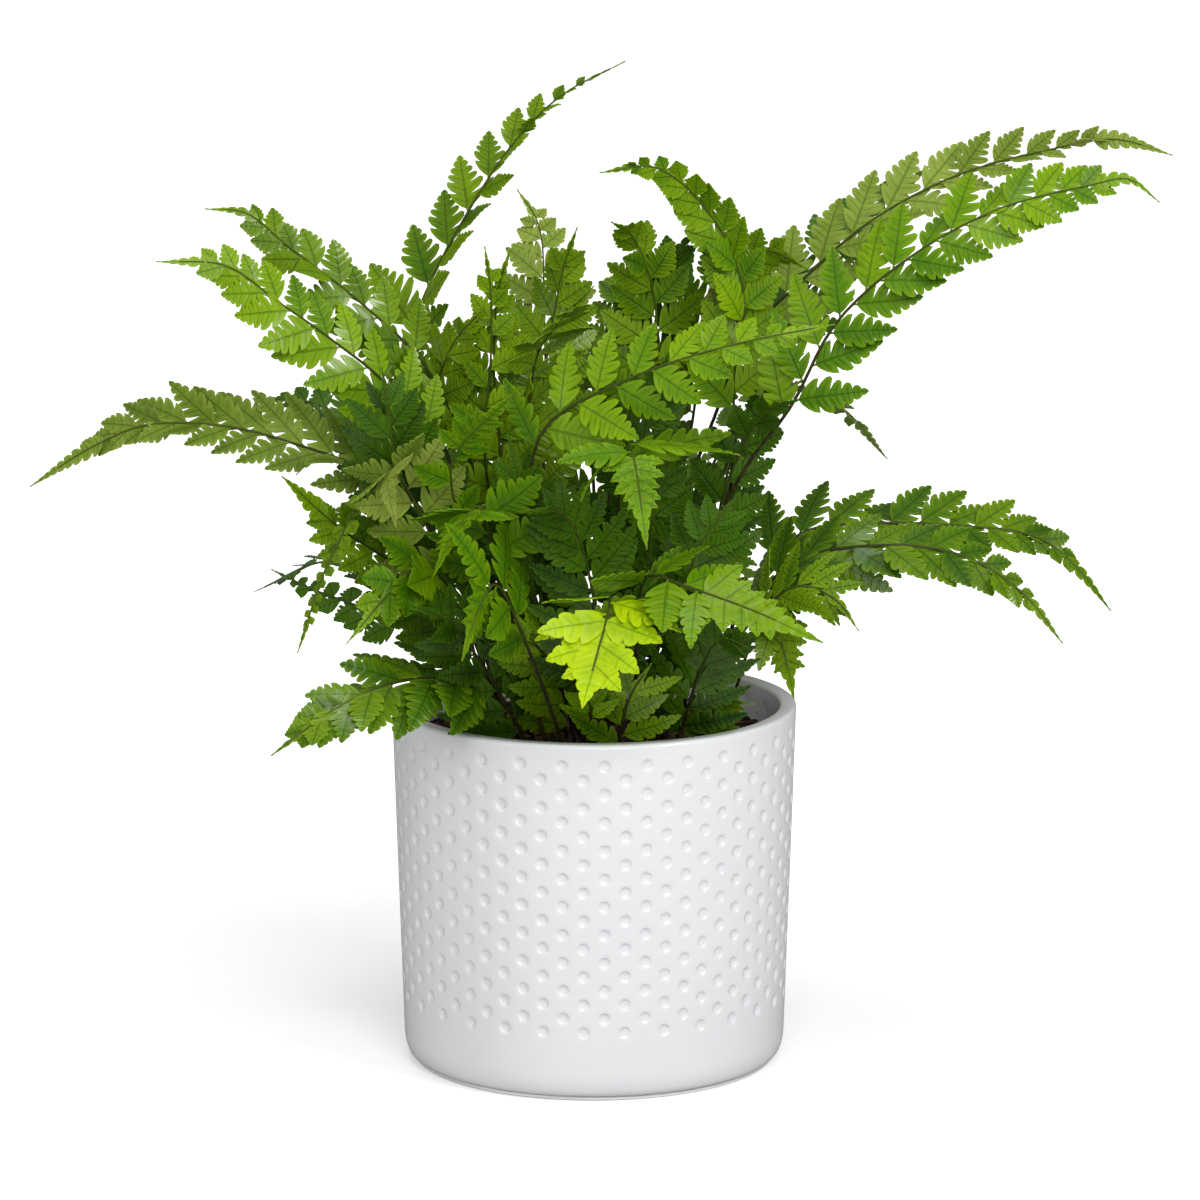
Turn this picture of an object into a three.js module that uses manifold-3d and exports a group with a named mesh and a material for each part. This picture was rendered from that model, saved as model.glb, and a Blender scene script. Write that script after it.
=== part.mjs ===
// A potted lady fern: a glazed, dimpled pot filled with potting soil, and a dense clump of lacy
// fronds that stand in the soil and arch outwards on wiry stems.
// Lengths are in millimetres and angles in degrees. +Z is up, +Y points away from the viewer, and the
// origin is the middle of the pot's foot, on the surface that it stands on.
import * as THREE from "three";
import Module from "manifold-3d";

const wasm = await Module();
wasm.setup();

// The pot: outside size, wall and base.
const POT_HEIGHT = 130;
const RIM_RADIUS = 72.5;
const RIM_ROUNDING = 2.2;
const WALL = 6;
const BASE_THICKNESS = 7;
const FOOT_RADIUS = 63.5;
const FOOT_RING_WIDTH = 6;
const FOOT_HEIGHT = 1.8;
const FOOT_RECESS = 1.5;
const HEEL_RADIUS = 65.2;
const HEEL_RISE = 11;
const HEEL_TURNS = [0, 40, 90];
const WALL_FOOT_RADIUS = 68.6;
const INNER_FOOT_RADIUS = 62;

// The dimples: a staggered net of shallow hollows between two plain bands.
const DIMPLE_COLUMNS = 60;
const DIMPLE_ROWS = 20;
const DIMPLE_TOP = 122.5;
const DIMPLE_ROW_STEP = 5.09;
const DIMPLE_DEPTH = 1.0;
const FRONT = -90;

// The soil, and the holes that the stems stand in.
const SOIL_LEVEL = 117;
const SOIL_GAP = 0.35;
const SOIL_RINGS = 3;
const SOIL_SECTORS = 18;
const SOIL_CLOD_HEIGHT = 1.5;
const STEM_BURIED = 18;
const HOLE_GAP = 0.35;
const HOLE_ABOVE_SOIL = 5;

// The fronds: a wiry stem that becomes the rib, and leaflets cut to that rib.
const STEM_HALF_WIDTH = 1.0;
const TIP_HALF_WIDTH = 0.35;
const STEM_THINNING = 1.5;
const STEM_STEP = 42;
const TIP_LEAFLET = 8;
const TIP_PLUMPNESS = 0.24;
const LEAFLET_CROWDING = 1.3;
const SPREAD = [60, 34];
const SPREAD_SCATTER = 4;
const MOST_WIDTH = 1.24;
const PLUMPNESS = 0.28;
const TAPER = 0.8;
const LEAF_THICKNESS = 0.7;
const LEAF_CLEARANCE = 0.3;
const TOUCH_VOLUME = 0.005;
const LEAFLET_DROOP = 0.1;
const LEAFLET_OVERLAP = 0.07;
const LOBED_LENGTH = 33;
const PLAIN_LENGTH = 12;
const SHORTEST_LEAFLET = 4;
const LIFTS = [0, 16, -16, 32, -32, 48];
const SIZES = [1, 0.75, 0.5];

const COLOURS = {
  glaze: 0xe3e7e8,
  soil: 0x2a1d17,
  deep: 0x2f6b1c,
  mid: 0x3f8424,
  fresh: 0x58a52c,
  olive: 0x5c7f3a,
  gold: 0xa9d425,
};
const GLAZE_ROUGHNESS = 0.16;
const SOIL_ROUGHNESS = 0.95;
const LEAF_ROUGHNESS = 0.45;

// Each frond: where its stem leaves the soil, the points that its rib passes, how much of it is bare
// stem, how many leaflets it carries, the length of its longest leaflets on the left and on the right
// as seen from the foot, and the way that its upper face looks. Where they aren't usual, `tip` is the
// length of the leaflet at its end, `spread` the angles between rib and leaflets at the first and the
// last leaflet, `plump` half a leaflet's width as a share of its length, `taper` how fast the leaflets
// get shorter, `lift` how far the leaflets on its left and right stand up out of its face, `closing`
// how much further they do at the tip, and `broad` whether the leaflet at its end is as plump as the
// others.
const FRONDS = [
  { name: "tall_left", tone: "mid", bare: 0.48, leaflets: 16, reach: [30, 26], tip: 12, spread: [46, 20],
    plump: 0.24, taper: 0.9, lift: [0, 42], closing: 38, faces: [-0.3, -1, 0.3],
    way: [[-14, 8], [-50, 12, 208], [-65, 15, 257], [-61, 16, 273], [-49, 18, 297], [-30, 18, 327],
      [-12, 14, 346], [11, 10, 359]] },
  { name: "left_high_fore", tone: "mid", bare: 0.46, leaflets: 14, reach: [26, 22], spread: [54, 34],
    taper: 0.45, faces: [0, -1, 0.8],
    way: [[-25, -8], [-40, -12, 206], [-58, -15, 252], [-82, -22, 278], [-107, -29, 299],
      [-121, -33, 311], [-135, -36, 313]] },
  { name: "left_high_rear", tone: "fresh", bare: 0.45, leaflets: 14, reach: [29, 23], spread: [54, 32],
    plump: 0.24, taper: 0.5, faces: [0, -1, 0.6],
    way: [[-32, -18], [-47, -24, 201], [-70, -30, 247], [-91, -38, 267], [-110, -45, 282],
      [-127, -50, 295], [-151, -53, 297]] },
  { name: "left_long", tone: "olive", bare: 0.34, leaflets: 16, reach: [27, 34], tip: 12,
    spread: [42, 22], plump: 0.2, taper: 0.75, faces: [0, -1, 0.8],
    way: [[-35, -12], [-50, -17, 190], [-79, -22, 217], [-103, -28, 228], [-127, -31, 235],
      [-156, -31, 236], [-175, -27, 228], [-199, -20, 212]] },
  { name: "left_behind", tone: "deep", bare: 0.45, leaflets: 8, reach: [24, 26], faces: [0, -1, 1],
    way: [[-30, 15], [-60, 30, 190], [-100, 55, 228], [-125, 65, 229]] },
  { name: "left_hanging", tone: "mid", bare: 0.55, leaflets: 8, reach: [8, 8], plump: 0.45,
    faces: [-1, -1, 1],
    way: [[-42, -25], [-62, -38, 190], [-76, -48, 215], [-91, -60, 195], [-103, -68, 162]] },
  { name: "left_mid", tone: "mid", bare: 0.3, leaflets: 12, reach: [28, 24], faces: [0, -1, 0.7],
    way: [[-40, 0], [-54, -15, 165], [-68, -30, 184], [-89, -45, 202], [-108, -60, 223]] },
  { name: "left_low_tail", tone: "deep", bare: 0.45, leaflets: 8, reach: [14, 14], faces: [0, -1, 1],
    way: [[-38, 18], [-65, 20, 150], [-105, 45, 163], [-118, 52, 168]] },
  { name: "left_low_broad", tone: "fresh", bare: 0.3, leaflets: 8, reach: [30, 30], tip: 20, plump: 0.34,
    faces: [-0.4, -1, 1],
    way: [[-35, -32], [-46, -44, 170], [-58, -54, 190], [-70, -68, 184], [-85, -85, 169]] },
  { name: "left_bottom", tone: "mid", bare: 0.28, leaflets: 12, reach: [34, 32], spread: [60, 28],
    faces: [0, -0.6, 1],
    way: [[-25, -40], [-38, -50, 146], [-54, -62, 152], [-72, -74, 152], [-91, -86, 145],
      [-111, -96, 132]] },
  { name: "front_gold", tone: "gold", bare: 0.5, leaflets: 4, reach: [27, 26], tip: 36, spread: [72, 70],
    plump: 0.36, taper: 0.1, broad: true, faces: [0, -0.6, 1],
    way: [[4, -40], [6, -62, 165], [6, -84, 186], [4, -104, 180], [-4, -125, 155]] },
  { name: "front_upper", tone: "fresh", bare: 0.62, leaflets: 4, reach: [36, 26], tip: 36,
    spread: [75, 85], plump: 0.22, taper: 0, broad: true, faces: [0, -0.7, 1],
    way: [[6, -20], [8, -48, 200], [11, -76, 238], [14, -98, 234], [18, -116, 208]] },
  { name: "front_left_upper", tone: "fresh", bare: 0.5, leaflets: 4, reach: [18, 14], tip: 30,
    spread: [60, 50], taper: 0.5, broad: true, faces: [0, -1, 0.3],
    way: [[-16, -28], [-36, -45, 185], [-50, -60, 225], [-28, -74, 254]] },
  { name: "front_left_hang", tone: "fresh", bare: 0.5, leaflets: 6, reach: [26, 26], tip: 28,
    spread: [65, 75], taper: 0.1, broad: true, faces: [-0.3, -0.8, 1],
    way: [[-15, -42], [-32, -54, 182], [-40, -70, 214], [-47, -82, 208], [-55, -93, 194]] },
  { name: "front_centre_low", tone: "fresh", bare: 0.45, leaflets: 6, reach: [24, 34], tip: 28,
    spread: [65, 75], taper: 0.1, broad: true, faces: [0, -0.8, 1],
    way: [[-8, -48], [-24, -66, 166], [-34, -80, 189], [-40, -90, 181], [-45, -100, 166]] },
  { name: "olive_left", tone: "olive", bare: 0.5, leaflets: 8, reach: [24, 24], tip: 20, spread: [65, 60],
    taper: 0.3, broad: true, faces: [-0.2, -1, 0.4],
    way: [[-28, -22], [-55, -45, 195], [-70, -58, 226], [-71, -68, 222], [-68, -76, 208]] },
  { name: "front_right", tone: "fresh", bare: 0.34, leaflets: 8, reach: [24, 28], tip: 46,
    spread: [65, 60], taper: 0.2, broad: true, faces: [0, -0.8, 1],
    way: [[16, -35], [15, -60, 165], [19, -84, 193], [31, -94, 191], [53, -104, 185], [78, -112, 175]] },
  { name: "right_low_fore", tone: "mid", bare: 0.28, leaflets: 14, reach: [28, 34], spread: [50, 28],
    taper: 0.9, faces: [0, -0.8, 1],
    way: [[38, -12], [52, -14, 158], [69, -16, 183], [97, -22, 191], [129, -28, 189], [150, -33, 177],
      [165, -37, 159]] },
  { name: "right_low_rear", tone: "mid", bare: 0.32, leaflets: 16, reach: [32, 28], spread: [54, 28],
    taper: 0.9, faces: [0, -0.8, 1],
    way: [[40, 12], [54, 14, 165], [74, 16, 188], [99, 20, 191], [132, 21, 190], [160, 19, 186],
      [173, 17, 176], [186, 15, 160]] },
  { name: "right_edge_hang", tone: "mid", bare: 0.5, leaflets: 4, reach: [20, 20], tip: 27, taper: 0.1,
    broad: true, faces: [0.5, -1, 1],
    way: [[36, -25], [48, -30, 158], [60, -40, 171], [66, -47, 160], [70, -52, 142]] },
  { name: "right_low_hang", tone: "mid", bare: 0.5, leaflets: 8, reach: [22, 22], tip: 18, taper: 0.4,
    faces: [0.3, -1, 0.8],
    way: [[44, -20], [61, -46, 174], [72, -54, 183], [84, -58, 179], [92, -64, 169]] },
  { name: "soil_front_right", tone: "mid", bare: 0.15, leaflets: 6, reach: [24, 24], tip: 14, taper: 0.3,
    faces: [0, -1, 0.6],
    way: [[8, -48], [12, -58, 143], [20, -66, 158]] },
  { name: "soil_right", tone: "mid", bare: 0.15, leaflets: 6, reach: [16, 16], tip: 12, faces: [0, -1, 1],
    way: [[34, -34], [44, -42, 138], [56, -50, 140]] },
  { name: "soil_front_left", tone: "fresh", bare: 0.4, leaflets: 4, reach: [14, 14], tip: 14,
    faces: [0, -1, 0.5],
    way: [[-2, -46], [-2, -58, 143], [-10, -68, 148]] },
  { name: "right_top_long", tone: "olive", bare: 0.4, leaflets: 16, reach: [32, 30], tip: 12,
    spread: [42, 20], taper: 0.7, lift: [0, 20], closing: 55, faces: [0, -1, 0.5],
    way: [[18, 4], [32, 8, 200], [44, 12, 234], [55, 16, 260], [73, 20, 278], [97, 23, 299],
      [128, 24, 316], [162, 15, 327], [184, 4, 332], [203, -8, 328]] },
  { name: "right_second", tone: "fresh", bare: 0.42, leaflets: 16, reach: [30, 28], spread: [50, 34],
    plump: 0.24, taper: 0.5, faces: [0, -1, 0.5],
    way: [[30, -14], [43, -18, 196], [53, -20, 218], [69, -24, 241], [85, -28, 272], [111, -32, 296],
      [141, -36, 313], [173, -40, 322], [185, -41, 324], [196, -42, 316]] },
  { name: "right_behind", tone: "deep", bare: 0.6, leaflets: 10, reach: [26, 22], faces: [0, -1, 0.5],
    way: [[24, 20], [45, 40, 200], [75, 60, 266], [100, 74, 294], [124, 86, 313]] },
  { name: "top_arch", tone: "fresh", bare: 0.5, leaflets: 14, reach: [24, 22], spread: [50, 32],
    taper: 0.7, lift: [0, 40], faces: [0, -1, 0.3],
    way: [[14, -2], [46, 0, 190], [50, 0, 250], [53, 5, 276], [44, 5, 301], [22, -4, 323],
      [2, -10, 322]] },
  { name: "top_dark", tone: "olive", bare: 0.55, leaflets: 10, reach: [28, 28], tip: 14, spread: [62, 50],
    faces: [0, -1, 0.4],
    way: [[-6, 14], [-16, 30, 200], [-18, 42, 262], [-20, 60, 293], [-28, 72, 305]] },
  { name: "centre_upper", tone: "mid", bare: 0.45, leaflets: 12, reach: [30, 30], tip: 14,
    spread: [65, 55], plump: 0.2, faces: [0, -0.3, 1],
    way: [[-4, -10], [-22, -12, 200], [-21, -20, 255], [-12, -40, 274], [0, -62, 290]] },
  { name: "front_right_upper", tone: "fresh", bare: 0.5, leaflets: 12, reach: [28, 32], spread: [54, 36],
    plump: 0.24, faces: [0, -1, 0.4],
    way: [[-2, -30], [-20, -55, 195], [-18, -70, 240], [11, -80, 260], [45, -88, 273], [82, -90, 281]] },
  { name: "centre_top_fore", tone: "mid", bare: 0.55, leaflets: 8, reach: [28, 28], faces: [0, -1, 0.5],
    way: [[4, 6], [16, 12, 210], [22, 10, 270], [14, -4, 298], [6, -20, 306]] },
  { name: "dark_mid_left", tone: "deep", bare: 0.5, leaflets: 8, reach: [29, 29], tip: 16, taper: 0.4,
    faces: [-0.2, -1, 0.5],
    way: [[-20, -18], [-52, -36, 190], [-68, -48, 222], [-71, -58, 245], [-73, -66, 262]] },
  { name: "centre_top_rear", tone: "mid", bare: 0.55, leaflets: 8, reach: [28, 28], faces: [0, -1, 0.6],
    way: [[12, 14], [34, 24, 220], [44, 26, 275], [60, 20, 290], [76, 8, 285]] },
  { name: "top_fill_left", tone: "mid", bare: 0.48, leaflets: 8, reach: [26, 26], tip: 14, taper: 0.5,
    faces: [-0.2, -1, 0.3],
    way: [[-3, 8], [-19, 10, 231], [-15, 12, 263], [-11, 8, 285], [-6, 2, 301]] },
  { name: "top_fill_right", tone: "deep", bare: 0.45, leaflets: 8, reach: [26, 26], tip: 14, taper: 0.5,
    faces: [0.2, -1, 0.4],
    way: [[13, 26], [16, 22, 228], [22, 22, 265], [28, 18, 287], [38, 12, 301]] },
  { name: "dark_mid_right", tone: "deep", bare: 0.45, leaflets: 8, reach: [20, 20], faces: [0.2, -1, 0.5],
    way: [[30, 2], [42, 4, 181], [49, 8, 216], [60, 12, 233], [67, 16, 244], [75, 20, 253]] },
  { name: "right_fill", tone: "deep", bare: 0.35, leaflets: 8, reach: [22, 22], tip: 14, taper: 0.5,
    faces: [0.2, -1, 0.5],
    way: [[36, -4], [44, -8, 198], [52, -14, 224], [61, -26, 240], [73, -36, 246]] },
  { name: "centre_left_top", tone: "mid", bare: 0.5, leaflets: 8, reach: [28, 28], tip: 14,
    faces: [-0.2, -1, 0.5],
    way: [[-22, 2], [-44, -5, 200], [-56, -8, 236], [-50, -20, 262], [-38, -34, 278]] },
  { name: "centre_left_fore", tone: "mid", bare: 0.4, leaflets: 8, reach: [28, 28], tip: 14,
    faces: [0, -1, 0.5],
    way: [[-10, 2], [-29, -12, 198], [-34, -18, 232], [-35, -24, 261], [-33, -32, 285],
      [-29, -38, 299]] },
  { name: "sprig_left", tone: "fresh", bare: 0.62, leaflets: 8, reach: [16, 16], tip: 12, taper: 0.5,
    faces: [-0.2, -1, 0.4],
    way: [[-14, -11], [-38, -22, 218], [-36, -28, 262], [-36, -34, 284], [-38, -38, 300]] },
  { name: "centre_dark", tone: "deep", bare: 0.22, leaflets: 8, reach: [30, 30], tip: 16, taper: 0.4,
    faces: [0, -1, 0.6],
    way: [[0, -36], [0, -58, 178], [-10, -76, 212], [-26, -90, 216]] },
  { name: "inner_left", tone: "deep", bare: 0.18, leaflets: 8, reach: [30, 30], tip: 14, taper: 0.4,
    faces: [0, -1, 0.4],
    way: [[-12, -4], [-22, -18, 158], [-34, -34, 196], [-50, -44, 214]] },
  { name: "inner_right", tone: "deep", bare: 0.18, leaflets: 8, reach: [30, 30], tip: 14, taper: 0.4,
    faces: [0, -1, 0.4],
    way: [[22, -24], [28, -40, 155], [36, -56, 196], [50, -66, 218]] },
  { name: "inner_front", tone: "deep", bare: 0.18, leaflets: 8, reach: [30, 30], tip: 14, taper: 0.4,
    faces: [0, -1, 0.4],
    way: [[16, -12], [18, -34, 160], [20, -50, 204], [28, -62, 236]] },
  { name: "inner_middle", tone: "deep", bare: 0.15, leaflets: 8, reach: [32, 32], tip: 14, taper: 0.5,
    faces: [0, -1, 0.5],
    way: [[-3, -18], [-19, -42, 161], [-21, -56, 193], [-25, -64, 219], [-30, -68, 241]] },
  { name: "inner_high", tone: "deep", bare: 0.4, leaflets: 8, reach: [28, 28], tip: 14, taper: 0.5,
    faces: [0.1, -1, 0.4],
    way: [[9, -21], [13, -32, 188], [16, -42, 222], [20, -50, 248], [27, -56, 268]] },
  { name: "inner_low", tone: "mid", bare: 0.15, leaflets: 8, reach: [25, 25], tip: 16, taper: 0.4,
    faces: [0, -1, 0.6],
    way: [[-6, -26], [-12, -46, 146], [-22, -60, 164], [-36, -72, 166]] },
  { name: "rim_right", tone: "deep", bare: 0.12, leaflets: 8, reach: [28, 28], tip: 16, taper: 0.4,
    faces: [0.2, -1, 0.8],
    way: [[28, -38], [37, -54, 152], [44, -66, 166], [56, -76, 164]] },
  { name: "rim_left", tone: "deep", bare: 0.12, leaflets: 8, reach: [28, 28], tip: 16, taper: 0.4,
    faces: [-0.2, -1, 0.7],
    way: [[-20, -38], [-40, -56, 157], [-51, -70, 174], [-64, -82, 182]] },
  { name: "back_middle", tone: "mid", bare: 0.25, leaflets: 8, reach: [26, 26], faces: [0, 0.5, 1],
    way: [[0, 30], [0, 44, 195], [-4, 74, 240], [-8, 103, 236], [-10, 127, 212]] },
  { name: "back_left", tone: "mid", bare: 0.25, leaflets: 8, reach: [26, 26], faces: [-0.3, 0.5, 1],
    way: [[-20, 30], [-38, 46, 190], [-66, 76, 222], [-92, 102, 214], [-112, 124, 190]] },
  { name: "back_right", tone: "mid", bare: 0.25, leaflets: 8, reach: [26, 26], faces: [0.3, 0.5, 1],
    way: [[22, 32], [36, 48, 190], [62, 78, 228], [90, 104, 220], [110, 124, 196]] },
  { name: "back_low_left", tone: "fresh", bare: 0.2, leaflets: 8, reach: [24, 24], faces: [-0.2, 0.6, 1],
    way: [[-8, 40], [-18, 58, 160], [-36, 86, 176], [-50, 107, 162], [-58, 123, 138]] },
  { name: "back_low_right", tone: "fresh", bare: 0.2, leaflets: 8, reach: [24, 24], faces: [0.2, 0.6, 1],
    way: [[14, 42], [22, 60, 158], [38, 88, 172], [54, 108, 158], [64, 125, 136]] },
  { name: "back_far_left", tone: "deep", bare: 0.32, leaflets: 8, reach: [24, 24], faces: [-0.4, 0.4, 1],
    way: [[-36, 28], [-60, 44, 152], [-96, 66, 168], [-126, 80, 154]] },
  { name: "back_far_right", tone: "deep", bare: 0.32, leaflets: 8, reach: [24, 24], faces: [0.4, 0.4, 1],
    way: [[38, 28], [60, 40, 155], [98, 60, 176], [135, 76, 165]] },
  { name: "back_upright", tone: "mid", bare: 0.5, leaflets: 8, reach: [24, 24], faces: [0, 0.8, 0.8],
    way: [[4, 20], [6, 36, 210], [10, 56, 258], [14, 84, 272], [18, 112, 260]] },
];

const rad = THREE.MathUtils.degToRad;

// A repeatable scatter between -1 and 1.
function scatter(n) {
  const s = Math.sin(n * 12.9898) * 43758.5453;
  return 2 * (s - Math.floor(s)) - 1;
}

function solidOf({ vertices, triangles }) {
  const vertProperties = new Float32Array(vertices.flatMap((v) => [v.x, v.y, v.z]));
  const triVerts = new Uint32Array(triangles.flat());
  return new wasm.Manifold(new wasm.Mesh({ numProp: 3, vertProperties, triVerts }));
}

function geometryOf({ vertices, triangles }) {
  const geometry = new THREE.BufferGeometry();
  const positions = vertices.flatMap((v) => [v.x, v.y, v.z]);
  geometry.setAttribute("position", new THREE.Float32BufferAttribute(positions, 3));
  geometry.setIndex(triangles.flat());
  geometry.computeVertexNormals();
  return geometry;
}

function geometryOfSolid(solid) {
  const mesh = solid.getMesh();
  const geometry = new THREE.BufferGeometry();
  geometry.setAttribute("position", new THREE.Float32BufferAttribute(mesh.vertProperties, mesh.numProp));
  geometry.setIndex([...mesh.triVerts]);
  geometry.computeVertexNormals();
  return geometry;
}

// A ring of vertices round the pot's axis. The radius may be a function of the place in the ring.
function ring(z, radius, count) {
  return Array.from({ length: count }, (_, j) => {
    const angle = rad(FRONT + (360 / count) * (j + 0.5));
    const r = typeof radius === "function" ? radius(j) : radius;
    return new THREE.Vector3(r * Math.cos(angle), r * Math.sin(angle), z);
  });
}

// Rings joined into one closed skin, from a point under the first ring to a point on the last.
// ridge(k, j) says which diagonal the face above ring k folds along.
function ringSkin(first, rings, last, ridge = () => true) {
  const count = rings[0].length;
  const vertices = [first, ...rings.flat(), last];
  const at = (k, j) => 1 + k * count + (j % count);
  const triangles = [];
  for (let j = 0; j < count; j++) {
    triangles.push([0, at(0, j + 1), at(0, j)]);
    triangles.push([vertices.length - 1, at(rings.length - 1, j), at(rings.length - 1, j + 1)]);
    for (let k = 0; k + 1 < rings.length; k++) {
      const [a, b, c, d] = [at(k, j), at(k, j + 1), at(k + 1, j + 1), at(k + 1, j)];
      triangles.push(...(ridge(k, j) ? [[a, b, c], [a, c, d]] : [[a, b, d], [b, c, d]]));
    }
  }
  return { vertices, triangles };
}

const wallRadius = (z) => THREE.MathUtils.mapLinear(z, HEEL_RISE, POT_HEIGHT, WALL_FOOT_RADIUS, RIM_RADIUS);
const innerRadius = (z) =>
  THREE.MathUtils.mapLinear(z, BASE_THICKNESS, POT_HEIGHT, INNER_FOOT_RADIUS, RIM_RADIUS - WALL);

function potSkin() {
  const rings = [];
  const add = (z, radius) => rings.push(ring(z, radius, DIMPLE_COLUMNS));
  add(FOOT_RECESS, FOOT_RADIUS - FOOT_RING_WIDTH);
  add(0, FOOT_RADIUS - FOOT_RING_WIDTH);
  add(0, FOOT_RADIUS);
  add(FOOT_HEIGHT, FOOT_RADIUS);
  for (const turn of HEEL_TURNS) {
    const z = FOOT_HEIGHT + (HEEL_RISE - FOOT_HEIGHT) * (1 - Math.cos(rad(turn)));
    add(z, HEEL_RADIUS + (WALL_FOOT_RADIUS - HEEL_RADIUS) * Math.sin(rad(turn)));
  }
  const lowest = DIMPLE_TOP - DIMPLE_ROW_STEP * (DIMPLE_ROWS - 1);
  add(lowest - DIMPLE_ROW_STEP, wallRadius(lowest - DIMPLE_ROW_STEP));
  const firstRow = rings.length;
  for (let row = DIMPLE_ROWS - 1; row >= 0; row--) {
    const z = DIMPLE_TOP - DIMPLE_ROW_STEP * row;
    add(z, (j) => wallRadius(z) - ((j + row) % 2 === 0 ? DIMPLE_DEPTH : 0));
  }
  add(POT_HEIGHT - RIM_ROUNDING, wallRadius(POT_HEIGHT - RIM_ROUNDING));
  add(POT_HEIGHT, RIM_RADIUS - RIM_ROUNDING);
  add(POT_HEIGHT, RIM_RADIUS - WALL + RIM_ROUNDING);
  add(POT_HEIGHT - RIM_ROUNDING, innerRadius(POT_HEIGHT - RIM_ROUNDING));
  add(BASE_THICKNESS, INNER_FOOT_RADIUS);
  const under = new THREE.Vector3(0, 0, FOOT_RECESS);
  const floor = new THREE.Vector3(0, 0, BASE_THICKNESS);
  // The ridges join the high points of the net, so that each dimple is one clean hollow.
  const rowAt = (k) => DIMPLE_ROWS - 1 - (k - firstRow);
  return ringSkin(under, rings, floor, (k, j) => (j + rowAt(k)) % 2 !== 0);
}

// A disc of soil with small clods on top, and a hole for each stem.
function soilSolid(ribs) {
  const side = (z) => innerRadius(z) - SOIL_GAP;
  const bottom = BASE_THICKNESS + SOIL_GAP;
  const rings = [ring(bottom, side(bottom), SOIL_SECTORS)];
  for (let k = SOIL_RINGS; k >= 1; k--) {
    const top = ring(SOIL_LEVEL, (side(SOIL_LEVEL - SOIL_CLOD_HEIGHT) * k) / SOIL_RINGS, SOIL_SECTORS);
    rings.push(top.map((v, j) => v.setZ(SOIL_LEVEL + SOIL_CLOD_HEIGHT * scatter(SOIL_SECTORS * k + j))));
  }
  const soil = solidOf(ringSkin(new THREE.Vector3(0, 0, bottom), rings, new THREE.Vector3(0, 0, SOIL_LEVEL)));
  return ribs.reduce((left, rib) => left.subtract(holeSolid(rib)), soil);
}

// The rib's stations, each with its place, its heading, half its width, the way that its upper face
// looks and the way across to its left. Leaflets grow between the stations from `blade` on.
function ribOf(frond) {
  const points = frond.way.map(([x, y, z = SOIL_LEVEL]) => new THREE.Vector3(x, y, z));
  const curve = new THREE.CatmullRomCurve3(points, false, "centripetal");
  const length = curve.getLength();
  const bladeFrom = frond.bare * length;
  const tip = frond.tip ?? TIP_LEAFLET;
  const stemSteps = Math.max(2, Math.round(bladeFrom / STEM_STEP));
  const distances = [];
  for (let k = 0; k <= stemSteps; k++) distances.push((bladeFrom * k) / stemSteps);
  for (let k = 1; k <= frond.leaflets; k++) {
    const share = 1 - (1 - k / frond.leaflets) ** LEAFLET_CROWDING;
    distances.push(bladeFrom + (length - tip - bladeFrom) * share);
  }
  const stations = distances.map((s) => {
    const at = curve.getPointAt(s / length);
    const ahead = curve.getTangentAt(s / length).normalize();
    const thinning = (s / length) ** STEM_THINNING;
    return { at, ahead, half: THREE.MathUtils.lerp(STEM_HALF_WIDTH, TIP_HALF_WIDTH, thinning) };
  });
  const [foot, next] = stations;
  foot.ahead = next.at.clone().sub(foot.at).normalize();
  stations.unshift({ ...foot, at: foot.at.clone().addScaledVector(foot.ahead, -STEM_BURIED) });
  const blade = stemSteps + 1;
  turnFaces(stations, blade + Math.floor(frond.leaflets / 2), new THREE.Vector3(...frond.faces));
  const onTip = (share) => curve.getPointAt(1 - (tip / length) * (1 - share));
  const plump = frond.broad ? (frond.plump ?? PLUMPNESS) : TIP_PLUMPNESS;
  return { frond, stations, blade, tip: tipLeaflet(stations.at(-1), onTip, tip, plump) };
}

// Turns the rib's upper face as the frond faces at its middle, and without twist from there both ways.
function turnFaces(stations, middle, facing) {
  const square = (v, { ahead }) => v.clone().addScaledVector(ahead, -v.dot(ahead)).normalize();
  stations[middle].up = square(facing, stations[middle]);
  for (let k = middle - 1; k >= 0; k--) stations[k].up = square(stations[k + 1].up, stations[k]);
  for (let k = middle + 1; k < stations.length; k++) {
    stations[k].up = square(stations[k - 1].up, stations[k]);
  }
  for (const station of stations) station.left = station.up.clone().cross(station.ahead);
}

// The rib's four corners at a station: upper left, upper right, lower right and lower left.
function cornersOf({ at, left, up, half }, extra = 0) {
  const w = half + extra;
  const t = Math.max(half, LEAF_THICKNESS / 2) + extra;
  const signs = [[1, 1], [-1, 1], [-1, -1], [1, -1]];
  return signs.map(([a, b]) => at.clone().addScaledVector(left, a * w).addScaledVector(up, b * t));
}

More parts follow.
